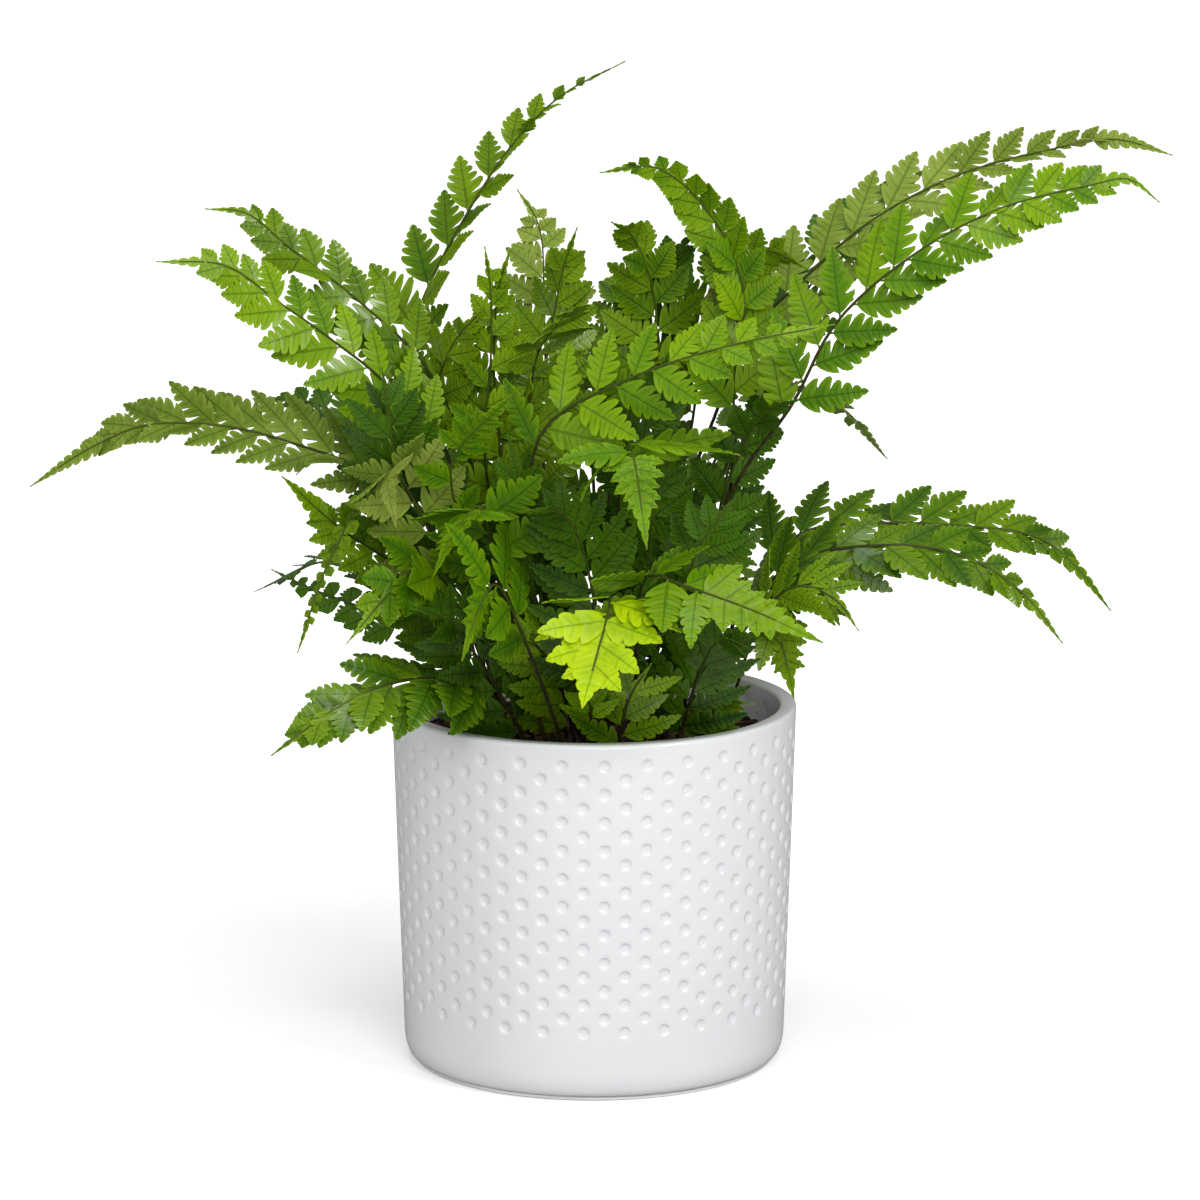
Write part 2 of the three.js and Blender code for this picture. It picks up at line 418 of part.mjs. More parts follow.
// A closed skin over the rib's stations, with the leaflet at its tip if there is one, and with side
// leaflets, of which each fills one side of its stretch.
function ribSkin(stations, { tip, leaflets = [], blade = 0, extra = 0 } = {}) {
  const vertices = stations.flatMap((station) => cornersOf(station, extra));
  const last = 4 * (stations.length - 1);
  const triangles = [];
  const quad = (a, b, c, d) => triangles.push([a, b, c], [a, c, d]);
  quad(3, 2, 1, 0);
  if (tip) addLeaflet(tip, vertices, triangles, [last + 1, last + 2, last, last + 3], extra);
  else quad(last, last + 1, last + 2, last + 3);
  for (let k = 0; k + 1 < stations.length; k++) {
    const [a, b] = [4 * k, 4 * (k + 1)];
    const leaflet = leaflets[k - blade];
    for (let e = 0; e < 4; e++) {
      const next = (e + 1) % 4;
      if (!leaflet || e !== (leaflet.side > 0 ? 3 : 1)) quad(a + e, a + next, b + next, b + e);
    }
    if (!leaflet) continue;
    const [top, bottom] = leaflet.side > 0 ? [0, 3] : [1, 2];
    addLeaflet(leaflet, vertices, triangles, [a + top, a + bottom, b + top, b + bottom], extra);
  }
  return { vertices, triangles };
}

// Adds a leaflet's two faces and its edge, from its base's four vertices: upper and lower, near and far.
function addLeaflet(leaflet, vertices, triangles, [nearTop, nearBottom, farTop, farBottom], extra) {
  const first = vertices.length;
  const count = leaflet.places.length;
  for (const height of [LEAF_THICKNESS / 2 + extra, -LEAF_THICKNESS / 2 - extra])
    vertices.push(...leaflet.places.map((place) => place.clone().addScaledVector(leaflet.face, height)));
  const upper = [nearTop, ...leaflet.places.map((_, i) => first + i), farTop];
  const lower = [nearBottom, ...leaflet.places.map((_, i) => first + count + i), farBottom];
  for (const [p, q, r] of leaflet.faces) {
    triangles.push([upper[p], upper[q], upper[r]], [lower[p], lower[r], lower[q]]);
  }
  for (let i = 0; i + 1 < upper.length; i++) {
    const [near, far] = leaflet.side > 0 ? [i, i + 1] : [i + 1, i];
    triangles.push([upper[near], upper[far], lower[far]], [upper[near], lower[far], lower[near]]);
  }
}

// The outlines that a leaflet can have, as shares of its length and of half its width.
const LOBED = [[0.3, -1], [0.46, -0.5], [1, 0.1], [0.56, 0.5], [0.42, 1]];
const PLAIN = [[0.36, -1], [1, 0.1], [0.45, 1]];
const SMALL = [[0.55, -0.8], [1, 0.4]];
const LONG_TIP = [[0.22, -1], [0.5, -0.75], [1, 0], [0.5, 0.75], [0.22, 1]];
const SHORT_TIP = [[0.3, -1], [1, 0], [0.3, 1]];

// The leaflet at the end of a rib, which follows the rib's own curve.
function tipLeaflet(station, onTip, length, plump) {
  const { at, ahead, left, up, half } = station;
  const outline = length > TIP_LEAFLET ? LONG_TIP : SHORT_TIP;
  const places = outline.map(([a, b]) => onTip(a).addScaledVector(left, b * length * plump));
  const ends = [-half, half].map((w) => at.clone().addScaledVector(left, w));
  const faces = facesOf([ends[0], ...places, ends[1]], at, ahead, left);
  const [leftTop, rightTop, rightBottom, leftBottom] = cornersOf(station);
  return { side: -1, faces, places, face: up, base: [rightTop, rightBottom, leftTop, leftBottom] };
}

// The triangles that fill an outline, seen from above and all turning the same way.
function facesOf(outline, origin, ahead, left) {
  const flat = outline.map((p) => {
    const offset = p.clone().sub(origin);
    return new THREE.Vector2(offset.dot(ahead), offset.dot(left));
  });
  return THREE.ShapeUtils.triangulateShape(flat, []).map(([p, q, r]) => {
    const turn = flat[q].clone().sub(flat[p]).cross(flat[r].clone().sub(flat[p]));
    return turn > 0 ? [p, q, r] : [p, r, q];
  });
}

// One leaflet, tilted out of the rib's plane and sized to fit: its outline, the triangles that fill it
// on both faces, the way that it faces, and its base's four vertices on the rib.
function leafletOf({ frond, stations, blade }, index, tilt, size) {
  const [from, to] = [stations[blade + index], stations[blade + index + 1]];
  const side = index % 2 === 0 ? 1 : -1;
  const along = (index + 0.5) / frond.leaflets;
  const reach = frond.reach[side > 0 ? 0 : 1] * (1 - along) ** (frond.taper ?? TAPER);
  const length = size * Math.max(SHORTEST_LEAFLET, reach);
  const halfWidth = Math.min(length * (frond.plump ?? PLUMPNESS), MOST_WIDTH * to.at.distanceTo(from.at));
  const [first, last] = frond.spread ?? SPREAD;
  const wander = SPREAD_SCATTER * scatter(index + frond.way[0][0]);
  const angle = rad(THREE.MathUtils.lerp(first, last, along) + wander);
  const ahead = from.ahead.clone().add(to.ahead).normalize();
  const up = from.up.clone().add(to.up).normalize();
  const left = up.clone().cross(ahead);
  const stand = (frond.lift?.[side > 0 ? 0 : 1] ?? 0) + (frond.closing ?? 0) * along * along;
  const lift = rad(stand + tilt);
  const out = left.clone().multiplyScalar(side * Math.cos(lift)).addScaledVector(up, Math.sin(lift));
  const face = up.clone().multiplyScalar(Math.cos(lift)).addScaledVector(left, -side * Math.sin(lift));
  const axis = ahead.clone().multiplyScalar(Math.cos(angle)).addScaledVector(out, Math.sin(angle));
  const cross = ahead.clone().multiplyScalar(Math.sin(angle)).addScaledVector(out, -Math.cos(angle));
  const baseOf = (station) => station.at.clone().addScaledVector(left, side * station.half);
  const root = baseOf(from).lerp(baseOf(to), 0.5);
  const outline = length > LOBED_LENGTH ? LOBED : length > PLAIN_LENGTH ? PLAIN : SMALL;
  const places = outline.map(([a, b]) => {
    const rise = LEAFLET_OVERLAP * b * (1 - a) - LEAFLET_DROOP * a * a;
    const place = root.clone().addScaledVector(axis, a * length).addScaledVector(cross, b * halfWidth);
    return place.addScaledVector(face, rise * length);
  });
  const faces = facesOf([baseOf(from), ...places, baseOf(to)], root, ahead, out.clone().multiplyScalar(side));
  const [near, far] = [cornersOf(from), cornersOf(to)];
  const base = side > 0 ? [near[0], near[3], far[0], far[3]] : [near[1], near[2], far[1], far[2]];
  return { side, faces, places, face, base };
}

// What a shape fills, with the box round it, to test what it would cross.
function fillOf(skin) {
  return { solid: solidOf(skin), box: new THREE.Box3().setFromPoints(skin.vertices) };
}

// A leaflet on its own, with the clearance that it needs above and below.
function leafletFill(leaflet) {
  const vertices = [...leaflet.base];
  const triangles = leaflet.side > 0 ? [[0, 1, 3], [0, 3, 2]] : [[0, 3, 1], [0, 2, 3]];
  addLeaflet(leaflet, vertices, triangles, [0, 1, 2, 3], LEAF_CLEARANCE);
  return fillOf({ vertices, triangles });
}

function crosses(a, b) {
  if (!a.box.intersectsBox(b.box)) return false;
  const common = a.solid.intersect(b.solid);
  const meets = common.volume() > TOUCH_VOLUME;
  common.delete();
  return meets;
}

// Chooses each leaflet's tilt and size, so that it clears the pot, the soil, the other fronds' ribs, its
// own frond's tip and the leaflets before it. A leaflet with no room is left out.
function growLeaflets(ribs, pot, soil) {
  const stemOf = ({ stations, tip }) => fillOf(ribSkin(stations, { tip, extra: LEAF_CLEARANCE }));
  const stems = ribs.map(stemOf);
  const grown = [];
  for (const [r, rib] of ribs.entries()) {
    const others = [pot, soil, leafletFill(rib.tip), ...stems.filter((_, i) => i !== r)];
    rib.leaflets = Array.from({ length: rib.frond.leaflets }, (_, index) => {
      for (const size of SIZES)
        for (const tilt of LIFTS) {
          const leaflet = leafletOf(rib, index, tilt, size);
          const fill = leafletFill(leaflet);
          if (![...others, ...grown].some((other) => crosses(fill, other))) {
            grown.push(fill);
            return leaflet;
          }
          fill.solid.delete();
        }
      return undefined;
    });
  }
}

// The hole that a stem stands in, a little wider and deeper than the stem.
function holeSolid({ stations: [buried, foot] }) {
  const bottom = { ...foot, at: buried.at.clone().addScaledVector(foot.ahead, -HOLE_GAP) };
  const top = { ...foot, at: foot.at.clone().addScaledVector(foot.ahead, HOLE_ABOVE_SOIL) };
  return solidOf(ribSkin([bottom, top], { extra: HOLE_GAP }));
}

function meshOf(name, geometry, color, roughness) {
  const mesh = new THREE.Mesh(geometry, new THREE.MeshStandardMaterial({ color, roughness, metalness: 0 }));
  mesh.name = name;
  return mesh;
}

const ribs = FRONDS.map(ribOf);
const pot = potSkin();
const soil = soilSolid(ribs);
const soilBox = new THREE.Box3().setFromArray(soil.getMesh().vertProperties);
growLeaflets(ribs, fillOf(pot), { solid: soil, box: soilBox });

const fern = new THREE.Group();
fern.add(meshOf("pot", geometryOf(pot), COLOURS.glaze, GLAZE_ROUGHNESS));
fern.add(meshOf("soil", geometryOfSolid(soil), COLOURS.soil, SOIL_ROUGHNESS));
for (const { frond, stations, ...grown } of ribs) {
  const geometry = geometryOf(ribSkin(stations, grown));
  fern.add(meshOf(`frond_${frond.name}`, geometry, COLOURS[frond.tone], LEAF_ROUGHNESS));
}

export default fern;
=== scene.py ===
"""A potted lady fern: a glazed, dimpled pot of dark soil, and a dense clump of lacy fronds in it.

The tables below hold millimetres and degrees. Every mesh is made in metres, in the frame's own axes.
"""
import logging
import math
import random
from bisect import bisect_left
from collections.abc import Callable, Iterator
from dataclasses import dataclass, field
from enum import Enum

import bmesh
import bpy
from mathutils import Matrix, Vector, noise
from mathutils.bvhtree import BVHTree


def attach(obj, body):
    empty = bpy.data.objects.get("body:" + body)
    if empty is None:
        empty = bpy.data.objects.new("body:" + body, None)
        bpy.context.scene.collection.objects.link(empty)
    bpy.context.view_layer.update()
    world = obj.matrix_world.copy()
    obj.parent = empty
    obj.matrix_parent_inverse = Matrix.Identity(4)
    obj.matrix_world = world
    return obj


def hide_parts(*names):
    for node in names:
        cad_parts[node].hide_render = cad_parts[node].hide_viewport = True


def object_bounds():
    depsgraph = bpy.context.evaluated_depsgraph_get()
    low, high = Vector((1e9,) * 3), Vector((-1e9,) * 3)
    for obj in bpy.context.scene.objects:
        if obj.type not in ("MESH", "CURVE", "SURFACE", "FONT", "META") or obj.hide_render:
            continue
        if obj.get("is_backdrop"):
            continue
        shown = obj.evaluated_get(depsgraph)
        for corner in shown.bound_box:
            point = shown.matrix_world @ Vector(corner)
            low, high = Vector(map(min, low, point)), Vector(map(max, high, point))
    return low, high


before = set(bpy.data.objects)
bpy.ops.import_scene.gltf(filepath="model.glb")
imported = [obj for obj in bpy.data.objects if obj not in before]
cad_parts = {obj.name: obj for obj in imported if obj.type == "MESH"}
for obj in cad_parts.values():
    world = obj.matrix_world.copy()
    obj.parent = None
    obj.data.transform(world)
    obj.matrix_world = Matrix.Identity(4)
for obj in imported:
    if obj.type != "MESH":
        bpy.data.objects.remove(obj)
CAD_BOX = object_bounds()

log = logging.getLogger("fern")

Colour = tuple[float, float, float]
Value = bpy.types.NodeSocket | float | tuple[float, ...]

MM = 0.001
SOIL_LEVEL = 117


class Tone(Enum):
    """The greens that a frond can have, each with its material slot's name."""

    # DEEP is partly the fern's own dark green and partly painted shade: the inner and rear fronds are
    # darker to stand in for the shade inside the clump.
    DEEP = "leaf_deep"
    MID = "leaf_mid"
    FRESH = "leaf_fresh"
    # OLIVE is partly the leaves' own olive and partly painted sheen: its lighter grey-green stands in for
    # the sheen on leaflets seen at a glancing angle.
    OLIVE = "leaf_olive"
    GOLD = "leaf_gold"


@dataclass(frozen=True)
class FrondPlan:
    """One frond's course and cut, in millimetres and degrees.

    The stem leaves the soil at the first point of way. bare is the share of it that carries no leaflets,
    leaflets the number on its coarse solid, reach the length of the longest on its left and right, and
    faces the way that its upper face looks. tip is the length of the leaflet at its end, spread the
    angles between rib and leaflets at the first and the last one, plump half a leaflet's width as a
    share of its length, taper how fast the leaflets get shorter, lift how far the leaflets on its left
    and right stand up out of its face, and closing how much further they do at the tip.

    The rest is what only the real frond has: finer how many times as many leaflets as its coarse solid,
    tail the share of its blade that is one undivided tail, slim half that tail's width as a share of its
    length, wide how many times the usual width its leaflets have, shade how much lighter they are than
    others of their tone, partly the frond's own green and partly painted light and shade: painted shade
    where it darkens fronds that face the lamps more than the real ones, and painted light where it
    lightens fronds that stand edge-on in shadow, and broad whether the tail is a leaf as broad as the
    solid's.
    """

    name: str
    tone: Tone
    bare: float
    leaflets: int
    reach: tuple[float, float]
    faces: tuple[float, float, float]
    way: tuple[tuple[float, ...], ...]
    tip: float = 8
    spread: tuple[float, float] = (60, 34)
    plump: float = 0.28
    taper: float = 0.8
    lift: tuple[float, float] = (0, 0)
    closing: float = 0
    finer: float = 1.7
    tail: float = 0.15
    slim: float = 0.13
    wide: float = 1.0
    shade: float = 0.0
    broad: bool = False


FRONDS = (
    FrondPlan("tall_left", Tone.MID, 0.48, 16, (30, 26), (-0.3, -1, 0.3),
              ((-14, 8), (-50, 12, 208), (-65, 15, 257), (-61, 16, 273), (-49, 18, 297),
               (-30, 18, 327), (-12, 14, 346), (11, 10, 359)),
              tip=12, spread=(46, 20), plump=0.24, taper=0.9, lift=(0, 42), closing=38, finer=1.3,
              tail=0.1, slim=0.04, wide=1.3),
    FrondPlan("left_high_fore", Tone.MID, 0.46, 14, (26, 22), (0, -1, 0.8),
              ((-25, -8), (-40, -12, 206), (-58, -15, 252), (-82, -22, 278),
               (-107, -29, 299), (-121, -33, 311), (-135, -36, 313)),
              spread=(54, 34), taper=0.45, finer=1.4),
    FrondPlan("left_high_rear", Tone.FRESH, 0.45, 14, (29, 23), (0, -1, 0.6),
              ((-32, -18), (-47, -24, 201), (-70, -30, 247), (-91, -38, 267),
               (-110, -45, 282), (-127, -50, 295), (-151, -53, 297)),
              spread=(54, 32), plump=0.24, taper=0.5, finer=1.5),
    FrondPlan("left_long", Tone.OLIVE, 0.34, 16, (27, 34), (0, -1, 0.8),
              ((-35, -12), (-50, -17, 190), (-79, -22, 217), (-103, -28, 228), (-127, -31, 235),
               (-156, -31, 236), (-175, -27, 228), (-199, -20, 212)),
              tip=12, spread=(42, 22), plump=0.2, taper=0.75, finer=1.6, tail=0.2,
              shade=-0.4),
    FrondPlan("left_behind", Tone.DEEP, 0.45, 8, (24, 26), (0, -1, 1),
              ((-30, 15), (-60, 30, 190), (-100, 55, 228), (-125, 65, 229)), finer=1.9),
    FrondPlan("left_hanging", Tone.MID, 0.55, 8, (8, 8), (-1, -1, 1),
              ((-42, -25), (-62, -38, 190), (-76, -48, 215),
               (-91, -60, 195), (-103, -68, 162)), plump=0.45, finer=3, wide=1.2),
    FrondPlan("left_mid", Tone.MID, 0.3, 12, (28, 24), (0, -1, 0.7),
              ((-40, 0), (-54, -15, 165), (-68, -30, 184),
               (-89, -45, 202), (-108, -60, 223)), finer=1.5, tail=0.24, slim=0.2, shade=0.1),
    FrondPlan("left_low_tail", Tone.DEEP, 0.45, 8, (14, 14), (0, -1, 1),
              ((-38, 18), (-65, 20, 150), (-105, 45, 163), (-118, 52, 168)), shade=0.9, wide=1.4),
    FrondPlan("left_low_broad", Tone.FRESH, 0.3, 8, (30, 30), (-0.4, -1, 1),
              ((-35, -32), (-46, -44, 170), (-58, -54, 190),
               (-70, -68, 184), (-85, -85, 169)), tip=20, plump=0.34, finer=1.3, shade=-0.35),
    # shade below 0 here is painted shade: this frond faces up into the lamps
    FrondPlan("left_bottom", Tone.MID, 0.28, 12, (34, 32), (0, -0.6, 1),
              ((-25, -40), (-38, -50, 146), (-54, -62, 152), (-72, -74, 152),
               (-91, -86, 145), (-111, -96, 132)), spread=(60, 28), finer=1.7, shade=-0.35, wide=1.4),
    FrondPlan("front_gold", Tone.GOLD, 0.5, 4, (27, 26), (0, -0.6, 1),
              ((4, -40), (6, -62, 165), (6, -84, 186),
               (4, -104, 180), (-4, -125, 155)),
              tip=36, spread=(72, 70), plump=0.36, taper=0.1, finer=1, slim=0.56, broad=True, shade=-0.05),
    FrondPlan("front_upper", Tone.FRESH, 0.62, 4, (36, 26), (0, -0.7, 1),
              ((6, -20), (8, -48, 200), (11, -76, 238),
               (14, -98, 234), (18, -116, 208)),
              tip=36, spread=(75, 85), plump=0.22, taper=0, finer=1, shade=-0.3, slim=0.27, broad=True),
    FrondPlan("front_left_upper", Tone.FRESH, 0.5, 4, (18, 14), (0, -1, 0.3),
              ((-16, -28), (-36, -45, 185), (-50, -60, 225), (-28, -74, 254)),
              tip=30, spread=(60, 50), taper=0.5, finer=1, slim=0.32, broad=True, shade=-0.55),
    FrondPlan("front_left_hang", Tone.FRESH, 0.5, 6, (26, 26), (-0.3, -0.8, 1),
              ((-15, -42), (-32, -54, 182), (-40, -70, 214),
               (-47, -82, 208), (-55, -93, 194)),
              tip=28, spread=(65, 75), taper=0.1, finer=1, slim=0.32, broad=True, shade=-0.45),
    FrondPlan("front_centre_low", Tone.FRESH, 0.45, 6, (24, 34), (0, -0.8, 1),
              ((-8, -48), (-24, -66, 166), (-34, -80, 189),
               (-40, -90, 181), (-45, -100, 166)),
              tip=28, spread=(65, 75), taper=0.1, finer=1, slim=0.32, broad=True, shade=-0.5),
    FrondPlan("olive_left", Tone.OLIVE, 0.5, 8, (24, 24), (-0.2, -1, 0.4),
              ((-28, -22), (-55, -45, 195), (-70, -58, 226),
               (-71, -68, 222), (-68, -76, 208)),
              tip=20, spread=(65, 60), taper=0.3, finer=1.3, slim=0.32, broad=True),
    FrondPlan("front_right", Tone.FRESH, 0.34, 8, (24, 28), (0, -0.8, 1),
              ((16, -35), (15, -60, 165), (19, -84, 193), (31, -94, 191),
               (53, -104, 185), (78, -112, 175)),
              tip=46, spread=(65, 60), taper=0.2, finer=1, slim=0.3, broad=True, shade=-0.25),
    # shade below 0 here is painted shade: the lamps light this frond more than the real one is lit
    FrondPlan("right_low_fore", Tone.MID, 0.28, 14, (28, 34), (0, -0.8, 1),
              ((38, -12), (52, -14, 158), (69, -16, 183), (97, -22, 191),
               (129, -28, 189), (150, -33, 177), (165, -37, 159)),
              spread=(50, 28), taper=0.9, finer=1.6, shade=-0.3),
    # shade below 0 here is painted shade: the lamps light this frond more than the real one is lit
    FrondPlan("right_low_rear", Tone.MID, 0.32, 16, (32, 28), (0, -0.8, 1),
              ((40, 12), (54, 14, 165), (74, 16, 188), (99, 20, 191), (132, 21, 190),
               (160, 19, 186), (173, 17, 176), (186, 15, 160)),
              spread=(54, 28), taper=0.9, finer=1.5, tail=0.18, shade=-0.3),
    FrondPlan("right_edge_hang", Tone.MID, 0.5, 4, (20, 20), (0.5, -1, 1),
              ((36, -25), (48, -30, 158), (60, -40, 171),
               (66, -47, 160), (70, -52, 142)), tip=27, taper=0.1, finer=1, slim=0.34, broad=True),
    FrondPlan("right_low_hang", Tone.MID, 0.5, 8, (22, 22), (0.3, -1, 0.8),
              ((44, -20), (61, -46, 174), (72, -54, 183),
               (84, -58, 179), (92, -64, 169)), tip=18, taper=0.4),
    FrondPlan("soil_front_right", Tone.MID, 0.15, 6, (24, 24), (0, -1, 0.6),
              ((8, -48), (12, -58, 143), (20, -66, 158)), tip=14, taper=0.3, finer=1.3),
    FrondPlan("soil_right", Tone.MID, 0.15, 6, (16, 16), (0, -1, 1),
              ((34, -34), (44, -42, 138), (56, -50, 140)), tip=12, finer=1.3),
    FrondPlan("soil_front_left", Tone.FRESH, 0.4, 4, (14, 14), (0, -1, 0.5),
              ((-2, -46), (-2, -58, 143), (-10, -68, 148)), tip=14, finer=1.3),
    FrondPlan("right_top_long", Tone.OLIVE, 0.4, 16, (32, 30), (0, -1, 0.5),
              ((18, 4), (32, 8, 200), (44, 12, 234), (55, 16, 260), (73, 20, 278), (97, 23, 299),
               (128, 24, 316), (162, 15, 327), (184, 4, 332), (203, -8, 328)),
              tip=12, spread=(42, 20), taper=0.7, lift=(0, 20), closing=55, finer=1.55, tail=0.16),
    FrondPlan("right_second", Tone.FRESH, 0.42, 16, (30, 28), (0, -1, 0.5),
              ((30, -14), (43, -18, 196), (53, -20, 218), (69, -24, 241), (85, -28, 272), (111, -32, 296),
               (141, -36, 313), (173, -40, 322), (185, -41, 324), (196, -42, 316)),
              spread=(50, 34), plump=0.24, taper=0.5, finer=1.6, shade=-0.2),
    FrondPlan("right_behind", Tone.DEEP, 0.6, 10, (26, 22), (0, -1, 0.5),
              ((24, 20), (45, 40, 200), (75, 60, 266), (100, 74, 294), (124, 86, 313)), finer=1.6),
    FrondPlan("top_arch", Tone.FRESH, 0.5, 14, (24, 22), (0, -1, 0.3),
              ((14, -2), (46, 0, 190), (50, 0, 250), (53, 5, 276),
               (44, 5, 301), (22, -4, 323), (2, -10, 322)),
              spread=(50, 32), taper=0.7, lift=(0, 40), finer=1.8, tail=0.1, slim=0.14, wide=1.15),
    FrondPlan("top_dark", Tone.OLIVE, 0.55, 10, (28, 28), (0, -1, 0.4),
              ((-6, 14), (-16, 30, 200), (-18, 42, 262),
               (-20, 60, 293), (-28, 72, 305)), tip=14, spread=(62, 50), finer=1.8),
    FrondPlan("centre_upper", Tone.MID, 0.45, 12, (30, 30), (0, -0.3, 1),
              ((-4, -10), (-22, -12, 200), (-21, -20, 255),
               (-12, -40, 274), (0, -62, 290)), tip=14, spread=(65, 55), plump=0.2, finer=1.6),
    FrondPlan("front_right_upper", Tone.FRESH, 0.5, 12, (28, 32), (0, -1, 0.4),
              ((-2, -30), (-20, -55, 195), (-18, -70, 240), (11, -80, 260),
               (45, -88, 273), (82, -90, 281)), spread=(54, 36), plump=0.24, finer=1.3),
    FrondPlan("centre_top_fore", Tone.MID, 0.55, 8, (28, 28), (0, -1, 0.5),
              ((4, 6), (16, 12, 210), (22, 10, 270), (14, -4, 298), (6, -20, 306)), finer=2),
    FrondPlan("dark_mid_left", Tone.DEEP, 0.5, 8, (29, 29), (-0.2, -1, 0.5),
              ((-20, -18), (-52, -36, 190), (-68, -48, 222),
               (-71, -58, 245), (-73, -66, 262)), tip=16, taper=0.4, finer=1.6),
    FrondPlan("centre_top_rear", Tone.MID, 0.55, 8, (28, 28), (0, -1, 0.6),
              ((12, 14), (34, 24, 220), (44, 26, 275), (60, 20, 290), (76, 8, 285)), finer=2),
    FrondPlan("top_fill_left", Tone.MID, 0.48, 8, (26, 26), (-0.2, -1, 0.3),
              ((-3, 8), (-19, 10, 231), (-15, 12, 263),
               (-11, 8, 285), (-6, 2, 301)), tip=14, taper=0.5, finer=2),
    FrondPlan("top_fill_right", Tone.DEEP, 0.45, 8, (26, 26), (0.2, -1, 0.4),
              ((13, 26), (16, 22, 228), (22, 22, 265),
               (28, 18, 287), (38, 12, 301)), tip=14, taper=0.5, finer=2),
    FrondPlan("dark_mid_right", Tone.DEEP, 0.45, 8, (20, 20), (0.2, -1, 0.5),
              ((30, 2), (42, 4, 181), (49, 8, 216), (60, 12, 233),
               (67, 16, 244), (75, 20, 253)), finer=2),
    FrondPlan("right_fill", Tone.DEEP, 0.35, 8, (22, 22), (0.2, -1, 0.5),
              ((36, -4), (44, -8, 198), (52, -14, 224),
               (61, -26, 240), (73, -36, 246)), tip=14, taper=0.5, finer=1.6),
    FrondPlan("centre_left_top", Tone.MID, 0.5, 8, (28, 28), (-0.2, -1, 0.5),
              ((-22, 2), (-44, -5, 200), (-56, -8, 236),
               (-50, -20, 262), (-38, -34, 278)), tip=14, finer=2),
    FrondPlan("centre_left_fore", Tone.MID, 0.4, 8, (28, 28), (0, -1, 0.5),
              ((-10, 2), (-29, -12, 198), (-34, -18, 232), (-35, -24, 261),
               (-33, -32, 285), (-29, -38, 299)), tip=14, finer=2),
    FrondPlan("sprig_left", Tone.FRESH, 0.62, 8, (16, 16), (-0.2, -1, 0.4),
              ((-14, -11), (-38, -22, 218), (-36, -28, 262),
               (-36, -34, 284), (-38, -38, 300)), tip=12, taper=0.5, finer=1.3),
    FrondPlan("centre_dark", Tone.DEEP, 0.22, 8, (30, 30), (0, -1, 0.6),
              ((0, -36), (0, -58, 178), (-10, -76, 212), (-26, -90, 216)), tip=16, taper=0.4, finer=2.4),
    FrondPlan("inner_left", Tone.DEEP, 0.18, 8, (30, 30), (0, -1, 0.4),
              ((-12, -4), (-22, -18, 158), (-34, -34, 196),
               (-50, -44, 214)), tip=14, taper=0.4, finer=2.3),
    FrondPlan("inner_right", Tone.DEEP, 0.18, 8, (30, 30), (0, -1, 0.4),
              ((22, -24), (28, -40, 155), (36, -56, 196),
               (50, -66, 218)), tip=14, taper=0.4, finer=2.3),
    FrondPlan("inner_front", Tone.DEEP, 0.18, 8, (30, 30), (0, -1, 0.4),
              ((16, -12), (18, -34, 160), (20, -50, 204),
               (28, -62, 236)), tip=14, taper=0.4, finer=2.3),
    FrondPlan("inner_middle", Tone.DEEP, 0.15, 8, (32, 32), (0, -1, 0.5),
              ((-3, -18), (-19, -42, 161), (-21, -56, 193),
               (-25, -64, 219), (-30, -68, 241)), tip=14, taper=0.5, finer=2.4),
    FrondPlan("inner_high", Tone.DEEP, 0.4, 8, (28, 28), (0.1, -1, 0.4),
              ((9, -21), (13, -32, 188), (16, -42, 222),
               (20, -50, 248), (27, -56, 268)), tip=14, taper=0.5, finer=2.4),
    FrondPlan("inner_low", Tone.MID, 0.15, 8, (25, 25), (0, -1, 0.6),
              ((-6, -26), (-12, -46, 146), (-22, -60, 164),
               (-36, -72, 166)), tip=16, taper=0.4, finer=1.6),
    FrondPlan("rim_right", Tone.DEEP, 0.12, 8, (28, 28), (0.2, -1, 0.8),
              ((28, -38), (37, -54, 152), (44, -66, 166),
               (56, -76, 164)), tip=16, taper=0.4, finer=1.9),
    FrondPlan("rim_left", Tone.DEEP, 0.12, 8, (28, 28), (-0.2, -1, 0.7),
              ((-20, -38), (-40, -56, 157), (-51, -70, 174),
               (-64, -82, 182)), tip=16, taper=0.4, finer=1.9),
    FrondPlan("back_middle", Tone.MID, 0.25, 8, (26, 26), (0, 0.5, 1),
              ((0, 30), (0, 44, 195), (-4, 74, 240), (-8, 103, 236), (-10, 127, 212)), finer=2.7),
    FrondPlan("back_left", Tone.MID, 0.25, 8, (26, 26), (-0.3, 0.5, 1),
              ((-20, 30), (-38, 46, 190), (-66, 76, 222), (-92, 102, 214), (-112, 124, 190)), finer=2.7),
    FrondPlan("back_right", Tone.MID, 0.25, 8, (26, 26), (0.3, 0.5, 1),
              ((22, 32), (36, 48, 190), (62, 78, 228), (90, 104, 220), (110, 124, 196)), finer=2.7),
    FrondPlan("back_low_left", Tone.FRESH, 0.2, 8, (24, 24), (-0.2, 0.6, 1),
              ((-8, 40), (-18, 58, 160), (-36, 86, 176), (-50, 107, 162), (-58, 123, 138))),
    FrondPlan("back_low_right", Tone.FRESH, 0.2, 8, (24, 24), (0.2, 0.6, 1),
              ((14, 42), (22, 60, 158), (38, 88, 172), (54, 108, 158), (64, 125, 136))),
    # shade above 0 here is painted light on a frond that stands edge-on in shadow
    FrondPlan("back_far_left", Tone.DEEP, 0.32, 8, (24, 24), (-0.4, 0.4, 1),
              ((-36, 28), (-60, 44, 152), (-96, 66, 168), (-126, 80, 154)), finer=2, shade=0.4),
    # shade above 0 here is painted light on a frond that stands edge-on in shadow
    FrondPlan("back_far_right", Tone.DEEP, 0.32, 8, (24, 24), (0.4, 0.4, 1),
